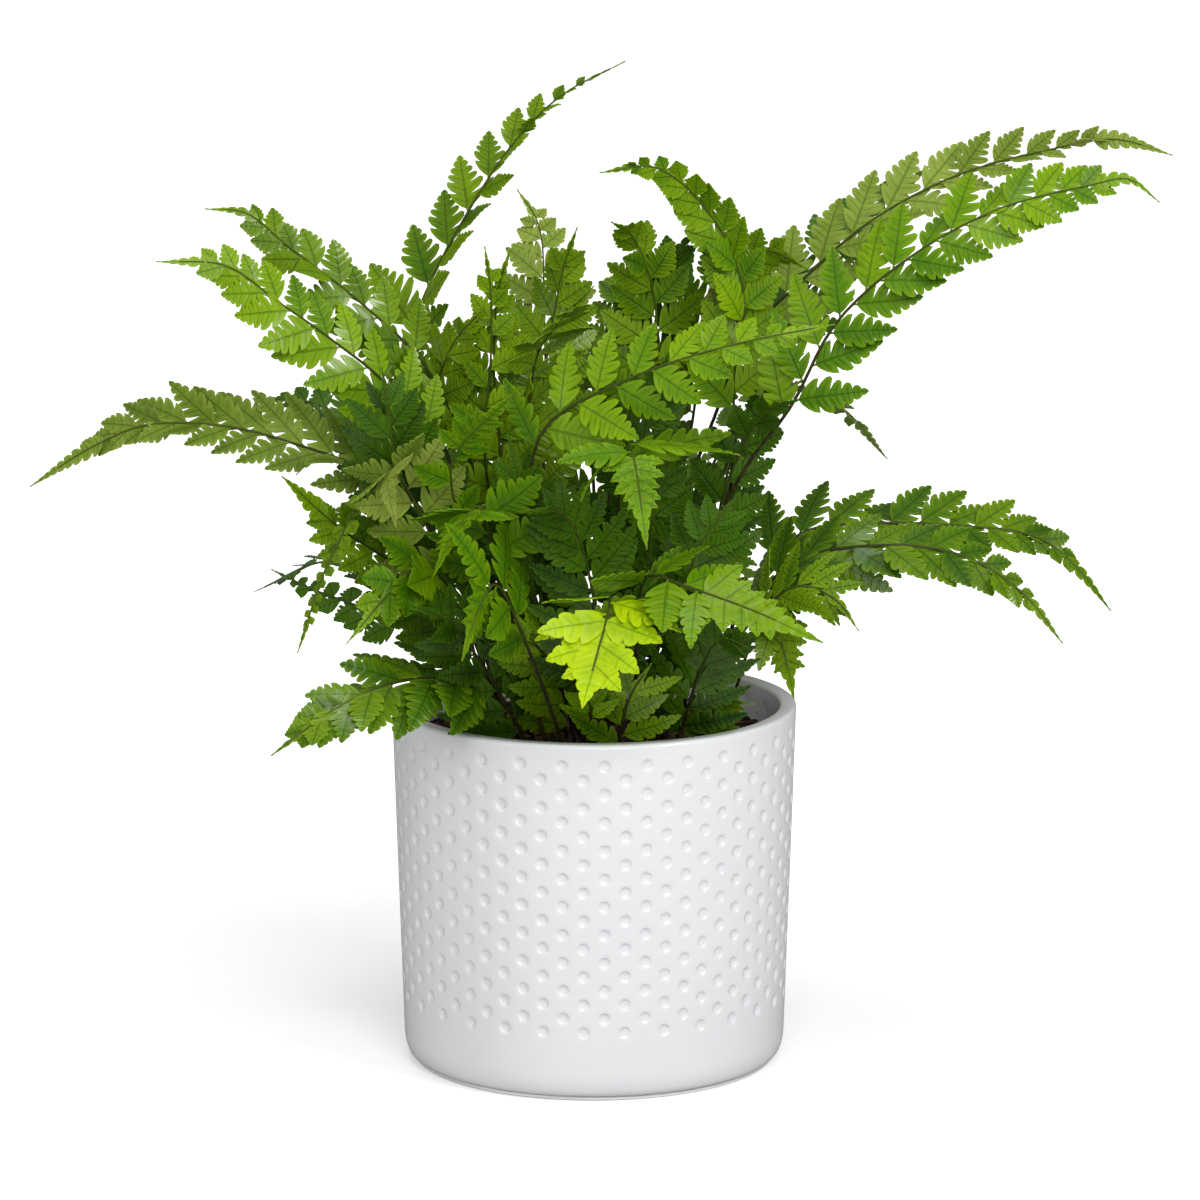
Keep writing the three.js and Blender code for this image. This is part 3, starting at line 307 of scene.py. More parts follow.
              ((38, 28), (60, 40, 155), (98, 60, 176), (135, 76, 165)), finer=2, shade=0.4),
    FrondPlan("back_upright", Tone.MID, 0.5, 8, (24, 24), (0, 0.8, 0.8),
              ((4, 20), (6, 36, 210), (10, 56, 258), (14, 84, 272), (18, 112, 260)), finer=2.7),
)


def linear(red: int, green: int, blue: int) -> Colour:
    """Turns a display colour of 0 to 255 into the linear one that shaders take."""
    return tuple(((c / 255 + 0.055) / 1.055) ** 2.4 for c in (red, green, blue))


def blend(start: float, end: float, share: float) -> float:
    """A value between start and end."""
    return start + (end - start) * share


def ease(share: float) -> float:
    """A smooth step from 0 to 1, level at both ends."""
    share = min(max(share, 0.0), 1.0)
    return share * share * (3 - 2 * share)


def quarter_turn(steps: int) -> list[float]:
    """The angles that cut a quarter turn into equal steps, in radians."""
    return [math.pi / 2 * k / steps for k in range(steps + 1)]


class Graph:
    """A node tree under construction."""

    def __init__(self, tree: bpy.types.NodeTree) -> None:
        """Keeps the tree that the nodes go into."""
        self.tree = tree

    def link(self, value: bpy.types.NodeSocket, socket: bpy.types.NodeSocket) -> None:
        """Feeds a value into a socket."""
        self.tree.links.new(value, socket)

    def add(self, kind: str, inputs: dict[str | int, Value], **settings: object) -> bpy.types.Node:
        """Adds a node.

        Args:
            kind: The node's Blender type.
            inputs: Sockets to link, or values to set, by input name or number.
            **settings: The node's own properties, set first.

        Returns:
            The node.
        """
        node = self.tree.nodes.new(kind)
        for key, value in settings.items():
            setattr(node, key, value)
        for key, value in inputs.items():
            if isinstance(value, bpy.types.NodeSocket):
                self.link(value, node.inputs[key])
            else:
                node.inputs[key].default_value = value
        return node

    def math(self, operation: str, *values: Value) -> bpy.types.NodeSocket:
        """Adds a Math node on the values and returns its result."""
        return self.add("ShaderNodeMath", dict(enumerate(values)), operation=operation).outputs[0]

    def parts(self, vector: bpy.types.NodeSocket) -> bpy.types.bpy_prop_collection:
        """Takes a vector apart and returns its X, Y and Z."""
        return self.add("ShaderNodeSeparateXYZ", {0: vector}).outputs

    def remap(self, value: Value, low: float, high: float, start: float = 0.0,
              end: float = 1.0) -> bpy.types.NodeSocket:
        """Turns the range low to high smoothly into start to end, and returns the result."""
        inputs = {"Value": value, "From Min": low, "From Max": high, "To Min": start, "To Max": end}
        return self.add("ShaderNodeMapRange", inputs, interpolation_type="SMOOTHSTEP").outputs[0]

    def mix(self, share: Value, first: Value, second: Value) -> bpy.types.NodeSocket:
        """Mixes two colours and returns the result."""
        inputs = {0: share, 6: first, 7: second}
        return self.add("ShaderNodeMix", inputs, data_type="RGBA", clamp_factor=True).outputs[2]

    def noise(self, place: Value, scale: float, detail: float = 3.0) -> bpy.types.NodeSocket:
        """Adds a noise pattern and returns its value."""
        inputs = {"Vector": place, "Scale": scale, "Detail": detail}
        return self.add("ShaderNodeTexNoise", inputs).outputs["Fac"]


def object_place(graph: Graph) -> bpy.types.NodeSocket:
    """The place on the piece, in metres."""
    return graph.add("ShaderNodeTexCoord", {}).outputs["Object"]


def own(graph: Graph, name: str) -> bpy.types.Node:
    """Reads one of the piece's own attributes."""
    return graph.add("ShaderNodeAttribute", {}, attribute_name=name)


def opaque(colour: Colour) -> tuple[float, ...]:
    """A colour as a shader's colour socket takes it."""
    return (*colour, 1.0)


def start_group(name: str, inputs: dict[str, str], outputs: dict[str, str]) -> tuple[Graph, dict, dict]:
    """Starts a shader node group.

    Args:
        name: The group's name.
        inputs: The kind of socket for each input's name.
        outputs: The kind of socket for each output's name.

    Returns:
        The graph, the sockets that bring the inputs, and the sockets that take the outputs.
    """
    tree = bpy.data.node_groups.new(name, "ShaderNodeTree")
    for key, kind in inputs.items():
        tree.interface.new_socket(name=key, in_out="INPUT", socket_type=kind)
    for key, kind in outputs.items():
        tree.interface.new_socket(name=key, in_out="OUTPUT", socket_type=kind)
    given = tree.nodes.new("NodeGroupInput").outputs
    made = tree.nodes.new("NodeGroupOutput").inputs
    return Graph(tree), {key: given[key] for key in inputs}, {key: made[key] for key in outputs}


def start_material(name: str,
                   constants: dict[str, Value]) -> tuple[bpy.types.Material, Graph, bpy.types.Node]:
    """Starts a material around one Principled shader.

    Args:
        name: The material's name.
        constants: The values that are the same all over the surface, by the shader's socket.

    Returns:
        The material, its graph, and its shader.
    """
    material = bpy.data.materials.new(name)
    material.use_nodes = True
    shader = material.node_tree.nodes["Principled BSDF"]
    for key, value in constants.items():
        shader.inputs[key].default_value = value
    return material, Graph(material.node_tree), shader


def bump(graph: Graph, shader: bpy.types.Node, height: Value, distance: float) -> None:
    """Feeds a height in metres times distance into the shader's normal."""
    node = graph.add("ShaderNodeBump", {"Height": height, "Distance": distance})
    graph.link(node.outputs["Normal"], shader.inputs["Normal"])


@dataclass(frozen=True)
class LeafSkin:
    """The skin of a leaflet: two greens, a midrib, a vein to each lobe, and the swelling between them.

    Each pair is where an effect starts and ends: across the leaflet from 0 at its midrib to 1 at its
    edge, across a lobe from 0 at its vein to 0.5, or in a pattern's own value.
    """

    midrib: tuple[float, float] = (0.03, 0.1)
    vein: tuple[float, float] = (0.03, 0.12)
    vein_ends: tuple[float, float] = (0.6, 0.95)
    rim: tuple[float, float] = (0.35, 1.0)
    wet: tuple[float, float] = (0.48, 0.62)
    mottle_scale: float = 110.0
    patch_scale: float = 22.0
    unevenness: float = 0.9
    rim_light: float = 0.4
    vein_tone: float = 0.12
    midrib_tone: float = 0.42
    vein_depth: float = 0.6
    dullness: float = 0.22
    least_coat: float = 0.06
    swell: float = 1.1
    swell_from: float = 0.25
    grain: float = 0.35

    def group(self) -> bpy.types.NodeTree:
        """Builds the skin.

        Its cut input holds the count of lobes passed, the place across the leaflet from -1 to 1, and the
        leaflet's own tint.

        Returns:
            The shader node group.
        """
        graph, given, made = start_group(
            "leaf veins",
            {"Blade": "NodeSocketColor", "Light": "NodeSocketColor", "Vein": "NodeSocketColor",
             "Gloss": "NodeSocketFloat", "Coat": "NodeSocketFloat", "Cut": "NodeSocketVector",
             "Place": "NodeSocketVector"},
            {"Color": "NodeSocketColor", "Roughness": "NodeSocketFloat", "Coat": "NodeSocketFloat",
             "Height": "NodeSocketFloat"},
        )
        passed, beside, own_tint = graph.parts(given["Cut"])
        across = graph.math("ABSOLUTE", beside)
        midrib = graph.remap(across, *self.midrib, 1.0, 0.0)
        lobe = graph.math("ABSOLUTE", graph.math("SUBTRACT", graph.math("FRACT", passed), 0.5))
        branch = graph.remap(lobe, *self.vein, 1.0, 0.0)
        inside = graph.remap(across, *self.vein_ends, 1.0, 0.0)
        side_vein = graph.math("MULTIPLY", branch, inside)
        mottle = graph.noise(given["Place"], self.mottle_scale)
        patches = graph.noise(given["Place"], self.patch_scale, 1.0)
        uneven = graph.math("SUBTRACT", graph.math("ADD", mottle, patches), 1.0)
        tint = graph.math("ADD", own_tint, graph.math("MULTIPLY", uneven, self.unevenness))
        green = graph.mix(tint, given["Blade"], given["Light"])
        # Below 0 the tint darkens the green towards the vein colour; through the plans' shade this is
        # partly painted shade.
        green = graph.mix(graph.math("MULTIPLY", tint, -1.0), green, given["Vein"])
        green = graph.mix(graph.remap(across, *self.rim, 0.0, self.rim_light), green, given["Light"])
        green = graph.mix(graph.math("MULTIPLY", side_vein, self.vein_tone), green, given["Vein"])
        green = graph.mix(graph.math("MULTIPLY", midrib, self.midrib_tone), green, given["Vein"])
        graph.link(green, made["Color"])
        graph.link(graph.math("MULTIPLY_ADD", mottle, self.dullness, given["Gloss"]), made["Roughness"])
        wet = graph.remap(patches, *self.wet, self.least_coat, 1.0)
        graph.link(graph.math("MULTIPLY", wet, given["Coat"]), made["Coat"])
        sunk = graph.math("MAXIMUM", midrib, graph.math("MULTIPLY", side_vein, self.vein_depth))
        ridge = graph.math("ABSOLUTE", graph.math("SUBTRACT", lobe, self.swell_from))
        ridge = graph.math("MULTIPLY", ridge, -self.swell)
        swell = graph.math("MULTIPLY_ADD", ridge, inside, graph.math("MULTIPLY", mottle, self.grain))
        graph.link(graph.math("SUBTRACT", swell, sunk), made["Height"])
        return graph.tree


@dataclass(frozen=True)
class Crumble:
    """Broken, grainy ground: a dark and a light colour in grains and patches, and their height."""

    detail: float = 5.0
    roughness: float = 0.7
    patches: tuple[float, float] = (0.42, 0.72)
    patch_light: float = 0.7
    clod_depth: float = 0.8

    def group(self) -> bpy.types.NodeTree:
        """Builds the ground.

        Returns:
            The shader node group.
        """
        graph, given, made = start_group(
            "crumbly ground",
            {"Dark": "NodeSocketColor", "Light": "NodeSocketColor", "Place": "NodeSocketVector",
             "Scale": "NodeSocketFloat", "Tint": "NodeSocketFloat"},
            {"Color": "NodeSocketColor", "Height": "NodeSocketFloat"},
        )
        spread = {"Vector": given["Place"], "Scale": given["Scale"]}
        broken = {**spread, "Detail": self.detail, "Roughness": self.roughness}
        grain = graph.add("ShaderNodeTexNoise", broken).outputs["Fac"]
        clod = graph.add("ShaderNodeTexVoronoi", spread).outputs["Distance"]
        patches = graph.math("MULTIPLY", graph.remap(grain, *self.patches), self.patch_light)
        share = graph.math("ADD", patches, given["Tint"])
        graph.link(graph.mix(share, given["Dark"], given["Light"]), made["Color"])
        height = graph.math("SUBTRACT", grain, graph.math("MULTIPLY", clod, self.clod_depth))
        graph.link(height, made["Height"])
        return graph.tree


@dataclass(frozen=True)
class DimpleNet:
    """Where the pot's dimples lie: in rows round the wall, each moved one column on from the last.

    A row has a dimple in every other column. Lengths are millimetres. lip is how much of a dimple's
    radius lies inside its edge, and margin how far past the first and last row the net fades, in rows.
    """

    columns: int = 60
    rows: int = 20
    top: float = 122.5
    step: float = 5.09
    radius: float = 2.3
    wall_radius: float = 70.6
    lip: float = 0.62
    margin: tuple[float, float] = (0.6, 0.7)

    @property
    def pitch(self) -> float:
        """The angle from a column to the next."""
        return 2 * math.pi / self.columns

    def group(self) -> bpy.types.NodeTree:
        """The crisp edge of each dimple, as a height from -1 inside to 0 outside.

        Returns:
            The shader node group.
        """
        graph, given, made = start_group("dimple edges", {"Place": "NodeSocketVector"},
                                         {"Height": "NodeSocketFloat"})
        x, y, z = graph.parts(given["Place"])
        angle = graph.math("ADD", graph.math("ARCTAN2", y, x), math.pi / 2)
        column = graph.math("SUBTRACT", graph.math("DIVIDE", angle, self.pitch), 0.5)
        row = graph.math("DIVIDE", graph.math("SUBTRACT", self.top * MM, z), self.step * MM)
        lean = graph.math("MULTIPLY", graph.math("ADD", column, row), 0.5)
        slant = graph.math("MULTIPLY", graph.math("SUBTRACT", column, row), 0.5)
        lean = graph.math("SUBTRACT", lean, graph.math("ROUND", lean))
        slant = graph.math("SUBTRACT", slant, graph.math("ROUND", slant))
        across = graph.math("MULTIPLY", graph.math("ADD", lean, slant), self.pitch * self.wall_radius)
        up = graph.math("MULTIPLY", graph.math("SUBTRACT", lean, slant), self.step)
        across, up = (graph.math("POWER", graph.math("ABSOLUTE", side), 2.0) for side in (across, up))
        away = graph.math("DIVIDE", graph.math("SQRT", graph.math("ADD", across, up)), self.radius)
        edge = graph.remap(away, self.lip, 1.0, -1.0, 0.0)
        near, far = self.margin
        below = graph.remap(row, -far, -near)
        above = graph.remap(row, self.rows - 1 + near, self.rows - 1 + far, 1.0, 0.0)
        graph.link(graph.math("MULTIPLY", edge, graph.math("MULTIPLY", below, above)), made["Height"])
        return graph.tree


DIMPLES = DimpleNet()


@dataclass(frozen=True)
class LeafFinish:
    """A living leaflet: the two greens that it varies between, its veins, and its shine."""

    name: str
    blade: Colour
    light: Colour
    vein: Colour
    gloss: float = 0.32
    coat: float = 0.4
    coat_roughness: float = 0.16
    specular: float = 0.16
    glow: float = 0.15
    glow_reach: float = 2 * MM
    glow_tint: Colour = (0.5, 1.0, 0.15)
    relief: float = 0.25 * MM

    def material(self, skin: bpy.types.NodeTree) -> bpy.types.Material:
        """Builds the finish.

        Args:
            skin: The group that draws a leaflet's skin.

        Returns:
            The material.
        """
        constants = {"Coat Roughness": self.coat_roughness, "Specular IOR Level": self.specular,
                     "Subsurface Weight": self.glow, "Subsurface Scale": self.glow_reach,
                     "Subsurface Radius": self.glow_tint}
        material, graph, shader = start_material(self.name, constants)
        inputs = {"Blade": opaque(self.blade), "Light": opaque(self.light), "Vein": opaque(self.vein),
                  "Gloss": self.gloss, "Coat": self.coat, "Cut": own(graph, "cut").outputs["Vector"],
                  "Place": object_place(graph)}
        drawn = graph.add("ShaderNodeGroup", inputs, node_tree=skin).outputs
        graph.link(drawn["Color"], shader.inputs["Base Color"])
        graph.link(drawn["Roughness"], shader.inputs["Roughness"])
        graph.link(drawn["Coat"], shader.inputs["Coat Weight"])
        bump(graph, shader, drawn["Height"], self.relief)
        return material


@dataclass(frozen=True)
class StemFinish:
    """A wiry stem: nearly black where it is old, and green towards the frond's tip."""

    old: Colour = linear(34, 29, 10)
    young: Colour = linear(78, 100, 24)
    streak: Colour = linear(78, 70, 26)
    greening: tuple[float, float] = (0.25, 1.1)
    speckle_scale: float = 420.0
    speckles: tuple[float, float] = (0.45, 0.7)
    streaking: float = 0.45
    relief: float = 0.1 * MM

    def material(self) -> bpy.types.Material:
        """Builds the finish.

        Returns:
            The material.
        """
        constants = {"Roughness": 0.45, "Specular IOR Level": 0.2}
        material, graph, shader = start_material("wiry stem", constants)
        along = graph.parts(own(graph, "cut").outputs["Vector"])["X"]
        age = graph.remap(along, *self.greening)
        speckle = graph.remap(graph.noise(object_place(graph), self.speckle_scale), *self.speckles)
        skin = graph.mix(age, opaque(self.old), opaque(self.young))
        skin = graph.mix(graph.math("MULTIPLY", speckle, self.streaking), skin, opaque(self.streak))
        graph.link(skin, shader.inputs["Base Color"])
        bump(graph, shader, speckle, self.relief)
        return material


@dataclass(frozen=True)
class GlazeFinish:
    """Smooth white glaze with a faint unevenness, and a bare clay foot.

    foot is how high the bare clay reaches, and foot_fade how many times as high it is all glaze.
    """

    glaze: Colour = (0.885, 0.89, 0.905)
    pooled: Colour = (0.85, 0.86, 0.885)
    clay: Colour = linear(224, 221, 216)
    foot: float = 0.3 * MM
    foot_fade: float = 1.6
    cloud_scale: float = 26.0
    clouds: tuple[float, float] = (0.35, 0.7)
    pooling: float = 0.5
    roughness: float = 0.16
    cloud_roughness: float = 0.07
    clay_roughness: float = 0.6
    edge: float = 0.22 * MM
    ripple_scale: float = 120.0
    ripple: float = 0.4

    def material(self, edges: bpy.types.NodeTree) -> bpy.types.Material:
        """Builds the finish.

        Args:
            edges: The group that draws the dimples' edges.

        Returns:
            The material.
        """
        constants = {"Coat Weight": 0.35, "Coat Roughness": 0.06, "IOR": 1.5}
        material, graph, shader = start_material("white glaze", constants)
        place = object_place(graph)
        bare = graph.remap(graph.parts(place)["Z"], self.foot, self.foot * self.foot_fade, 1.0, 0.0)
        cloud = graph.remap(graph.noise(place, self.cloud_scale, 2.0), *self.clouds)
        pooled = graph.math("MULTIPLY", cloud, self.pooling)
        white = graph.mix(pooled, opaque(self.glaze), opaque(self.pooled))
        graph.link(graph.mix(bare, white, opaque(self.clay)), shader.inputs["Base Color"])
        gloss = graph.math("MULTIPLY_ADD", cloud, self.cloud_roughness, self.roughness)
        rough = graph.math("MULTIPLY_ADD", bare, self.clay_roughness, gloss)
        graph.link(rough, shader.inputs["Roughness"])
        dent = graph.add("ShaderNodeGroup", {"Place": place}, node_tree=edges).outputs["Height"]
        ripple = graph.noise(place, self.ripple_scale, 2.0)
        bump(graph, shader, graph.math("MULTIPLY_ADD", ripple, self.ripple, dent), self.edge)
        return material


@dataclass(frozen=True)
class GroundFinish:
    """A kind of ground: moist peat, or the bits of bark and root in it.

    scale is how fine its grains are, relief how deep they are in metres, and own_tint whether each bit
    has a tint of its own.
    """

    name: str
    dark: Colour
    light: Colour
    scale: float
    relief: float
    own_tint: bool = False

    def material(self, crumble: bpy.types.NodeTree) -> bpy.types.Material:
        """Builds the finish.

        Args:
            crumble: The group that draws broken ground.

        Returns:
            The material.
        """
        constants = {"Roughness": 0.88, "Specular IOR Level": 0.3}
        material, graph, shader = start_material(self.name, constants)
        inputs = {"Dark": opaque(self.dark), "Light": opaque(self.light), "Scale": self.scale,
                  "Place": object_place(graph)}
        if self.own_tint:
            inputs["Tint"] = own(graph, "tint").outputs["Fac"]
        ground = graph.add("ShaderNodeGroup", inputs, node_tree=crumble).outputs
        graph.link(ground["Color"], shader.inputs["Base Color"])
        bump(graph, shader, ground["Height"], self.relief)
        return material


LEAVES = {
    # The deep greens are partly painted shade: darker to stand in for the shade inside the clump.
    Tone.DEEP: LeafFinish("deep leaf", linear(31, 59, 0), linear(74, 113, 3), linear(16, 34, 1)),
    Tone.MID: LeafFinish("mid leaf", linear(64, 101, 0), linear(122, 155, 10), linear(30, 52, 2)),
    Tone.FRESH: LeafFinish("fresh leaf", linear(77, 121, 0), linear(132, 168, 6), linear(38, 66, 2),
                           coat=0.16),
    # The olive greens are partly painted sheen on leaflets seen at a glancing angle.
    Tone.OLIVE: LeafFinish("olive leaf", linear(103, 128, 31), linear(146, 165, 68), linear(56, 74, 14),
                           gloss=0.42, coat=0.04),
    Tone.GOLD: LeafFinish("gold leaf", linear(92, 152, 0), linear(186, 214, 8), linear(60, 112, 2),
                          coat=0.1),
}
PEAT = GroundFinish("moist peat", linear(19, 13, 9), linear(46, 32, 22), 260.0, 0.6 * MM)
BARK = GroundFinish("bark crumbs", linear(26, 18, 12), linear(84, 56, 36), 420.0, 0.3 * MM, own_tint=True)
ROOT = GroundFinish("root fibres", linear(70, 38, 20), linear(150, 98, 56), 500.0, 0.1 * MM, own_tint=True)


class Course:
    """The smooth curve through a frond's points, measured along its length."""

    DIVISIONS = 200
    LOOK = 0.0001

    def __init__(self, points: list[Vector]) -> None:
        """Lays the curve.

        Args:
            points: The points that it passes, in metres.
        """
        ends = [2 * points[0] - points[1], *points, 2 * points[-1] - points[-2]]
        self.spans = [self._span(*ends[k:k + 4]) for k in range(len(points) - 1)]
        samples = [self._at(k / self.DIVISIONS) for k in range(self.DIVISIONS + 1)]
        self.reached = [0.0]
        for here, there in zip(samples, samples[1:]):
            self.reached.append(self.reached[-1] + (there - here).length)
        self.length = self.reached[-1]

    @staticmethod
    def _span(before: Vector, start: Vector, end: Vector, after: Vector) -> tuple[Vector, ...]:
        """Fits the centripetal curve from start to end.

        Args:
            before: The point before start.
            start: Where the curve starts.
            end: Where it ends.
            after: The point after end.

        Returns:
            Its four coefficients, from the constant one up.
        """
        pairs = ((before, start), (start, end), (end, after))
        lead, step, tail = (math.sqrt((b - a).length) for a, b in pairs)
        leave = ((start - before) / lead - (end - before) / (lead + step) + (end - start) / step) * step
        arrive = ((end - start) / step - (after - start) / (step + tail) + (after - end) / tail) * step
        return (start, leave, 3 * (end - start) - 2 * leave - arrive, 2 * (start - end) + leave + arrive)

    def _at(self, share: float) -> Vector:
        """Follows the spans.

        Args:
            share: How many of them are passed, as a share of them all.

        Returns:
            The point there.
        """
        passed = share * len(self.spans)
        k = min(int(passed), len(self.spans) - 1)
        t = passed - k
        a, b, c, d = self.spans[k]
        return a + t * (b + t * (c + t * d))

    def _share(self, share: float) -> float:
        """Turns a share of the length into one of the spans.

        Args:
            share: How far along the curve's length, from 0 to 1.

        Returns:
            How many of the spans are passed there, as a share of them all.
        """
        distance = min(max(share, 0.0), 1.0) * self.length
        k = min(max(bisect_left(self.reached, distance), 1), self.DIVISIONS)
        low, high = self.reached[k - 1], self.reached[k]
        return (k - 1 + (distance - low) / (high - low)) / self.DIVISIONS

    def point(self, share: float) -> Vector:
        """The point at a share of the length."""
        return self._at(self._share(share))

    def heading(self, share: float) -> Vector:
        """The way that the curve runs at a share of the length."""
        t = self._share(share)
        return (self._at(min(t + self.LOOK, 1.0)) - self._at(max(t - self.LOOK, 0.0))).normalized()


@dataclass
class Station:
    """A place on a rib: where it is, how it is turned, and how thick it is there."""

    place: Vector
    ahead: Vector
    share: float
    radius: float
    up: Vector = field(default_factory=Vector)
    left: Vector = field(default_factory=Vector)

    def turn(self, facing: Vector) -> None:
        """Turns the upper face as near to facing as the heading lets it."""
        self.up = (facing - self.ahead * facing.dot(self.ahead)).normalized()
        self.left = self.up.cross(self.ahead)

    def branch(self, length: float, angle: float, lift: float, droop: float,
               twist: float) -> Callable[[float], tuple[Vector, Vector, Vector]]:
        """The spine of a blade that stands off the rib.

        Args:
            length: How long it is, negative to the right.
            angle: How far it turns from the way ahead, in degrees.
            lift: How far it rises out of the rib's plane, in degrees.
            droop: How far its tip sinks, as a share of its length.
            twist: How far it rolls on the way to its tip, in radians.

        Returns:
            The place, the way across and the way up at a share of its length.
        """
        side = math.copysign(1, length)
        rise, turned = math.radians(lift), math.radians(angle)
        out = self.left * (side * math.cos(rise)) + self.up * math.sin(rise)
        face = self.up * math.cos(rise) - self.left * (side * math.sin(rise))
        axis = self.ahead * math.cos(turned) + out * math.sin(turned)
        across = face.cross(axis)

        def spine(share: float) -> tuple[Vector, Vector, Vector]:
            """Places and turns the blade at one spot.

            Args:
                share: How far along it.

            Returns:
                The place, the way across and the way up.
            """
            place = self.place + (axis * share - face * (droop * share * share)) * abs(length)
            roll = twist * share
            slope = face + axis * (2 * droop * share)
            return place, across * math.cos(roll) + slope * math.sin(roll), slope - across * roll

        return spine

    def frame(self) -> Matrix:
        """The matrix that takes a unit ring to the rib's section here."""
        columns = (self.left * self.radius, self.up * self.radius, self.ahead * self.radius)
        return Matrix.Translation(self.place) @ Matrix(columns).transposed().to_4x4()


def grow_tube(bm: bmesh.types.BMesh, stations: list[Station], sides: int) -> list[bmesh.types.BMVert]:
    """Grows a closed tube through stations, by extruding a ring from each to the next.

    Args:
        bm: The mesh that it grows in.
        stations: The places that it passes.
        sides: How many sides its section has.

    Returns:
        The tube's vertices, ring by ring.
    """
    made = bmesh.ops.create_circle(bm, cap_ends=False, segments=sides, radius=1.0,
                                   matrix=stations[0].frame())["verts"]
    edges = list(dict.fromkeys(edge for vert in made for edge in vert.link_edges))
    bmesh.ops.edgeloop_fill(bm, edges=edges)
    vertices = list(made)
    for before, after in zip(stations, stations[1:]):
        grown = bmesh.ops.extrude_edge_only(bm, edges=edges)["geom"]
        verts = [item for item in grown if isinstance(item, bmesh.types.BMVert)]
        edges = [item for item in grown
                 if isinstance(item, bmesh.types.BMEdge) and all(vert in verts for vert in item.verts)]
        bmesh.ops.transform(bm, matrix=after.frame() @ before.frame().inverted(), verts=verts)
        vertices += verts
    bmesh.ops.edgeloop_fill(bm, edges=edges)
    faces = list(dict.fromkeys(face for vert in vertices for face in vert.link_faces))
    bmesh.ops.recalc_face_normals(bm, faces=faces)
    return vertices


def finish_piece(bm: bmesh.types.BMesh, name: str, materials: list[bpy.types.Material],
                 crease: float = 0.9) -> bpy.types.Object:
    """Turns a mesh under construction into a piece that rides with the pot.

    Args:
        bm: The mesh, which is freed.
        name: The piece's name.
        materials: Its materials, by the faces' material numbers.
        crease: The angle between faces, in radians, over which an edge stays sharp.

    Returns:
        The piece.
    """
    bm.normal_update()
    for face in bm.faces:
        face.smooth = True
    for edge in bm.edges:
        if len(edge.link_faces) == 2 and edge.calc_face_angle(0.0) > crease:
            edge.smooth = False
    mesh = bpy.data.meshes.new(name)
    bm.to_mesh(mesh)
    bm.free()
    for material in materials:
        mesh.materials.append(material)
    piece = bpy.data.objects.new(name, mesh)
    bpy.context.scene.collection.objects.link(piece)
    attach(piece, "root")
    triangles = sum(len(face.vertices) - 2 for face in mesh.polygons)
    log.info("%s: %d triangles", name, triangles)
    return piece


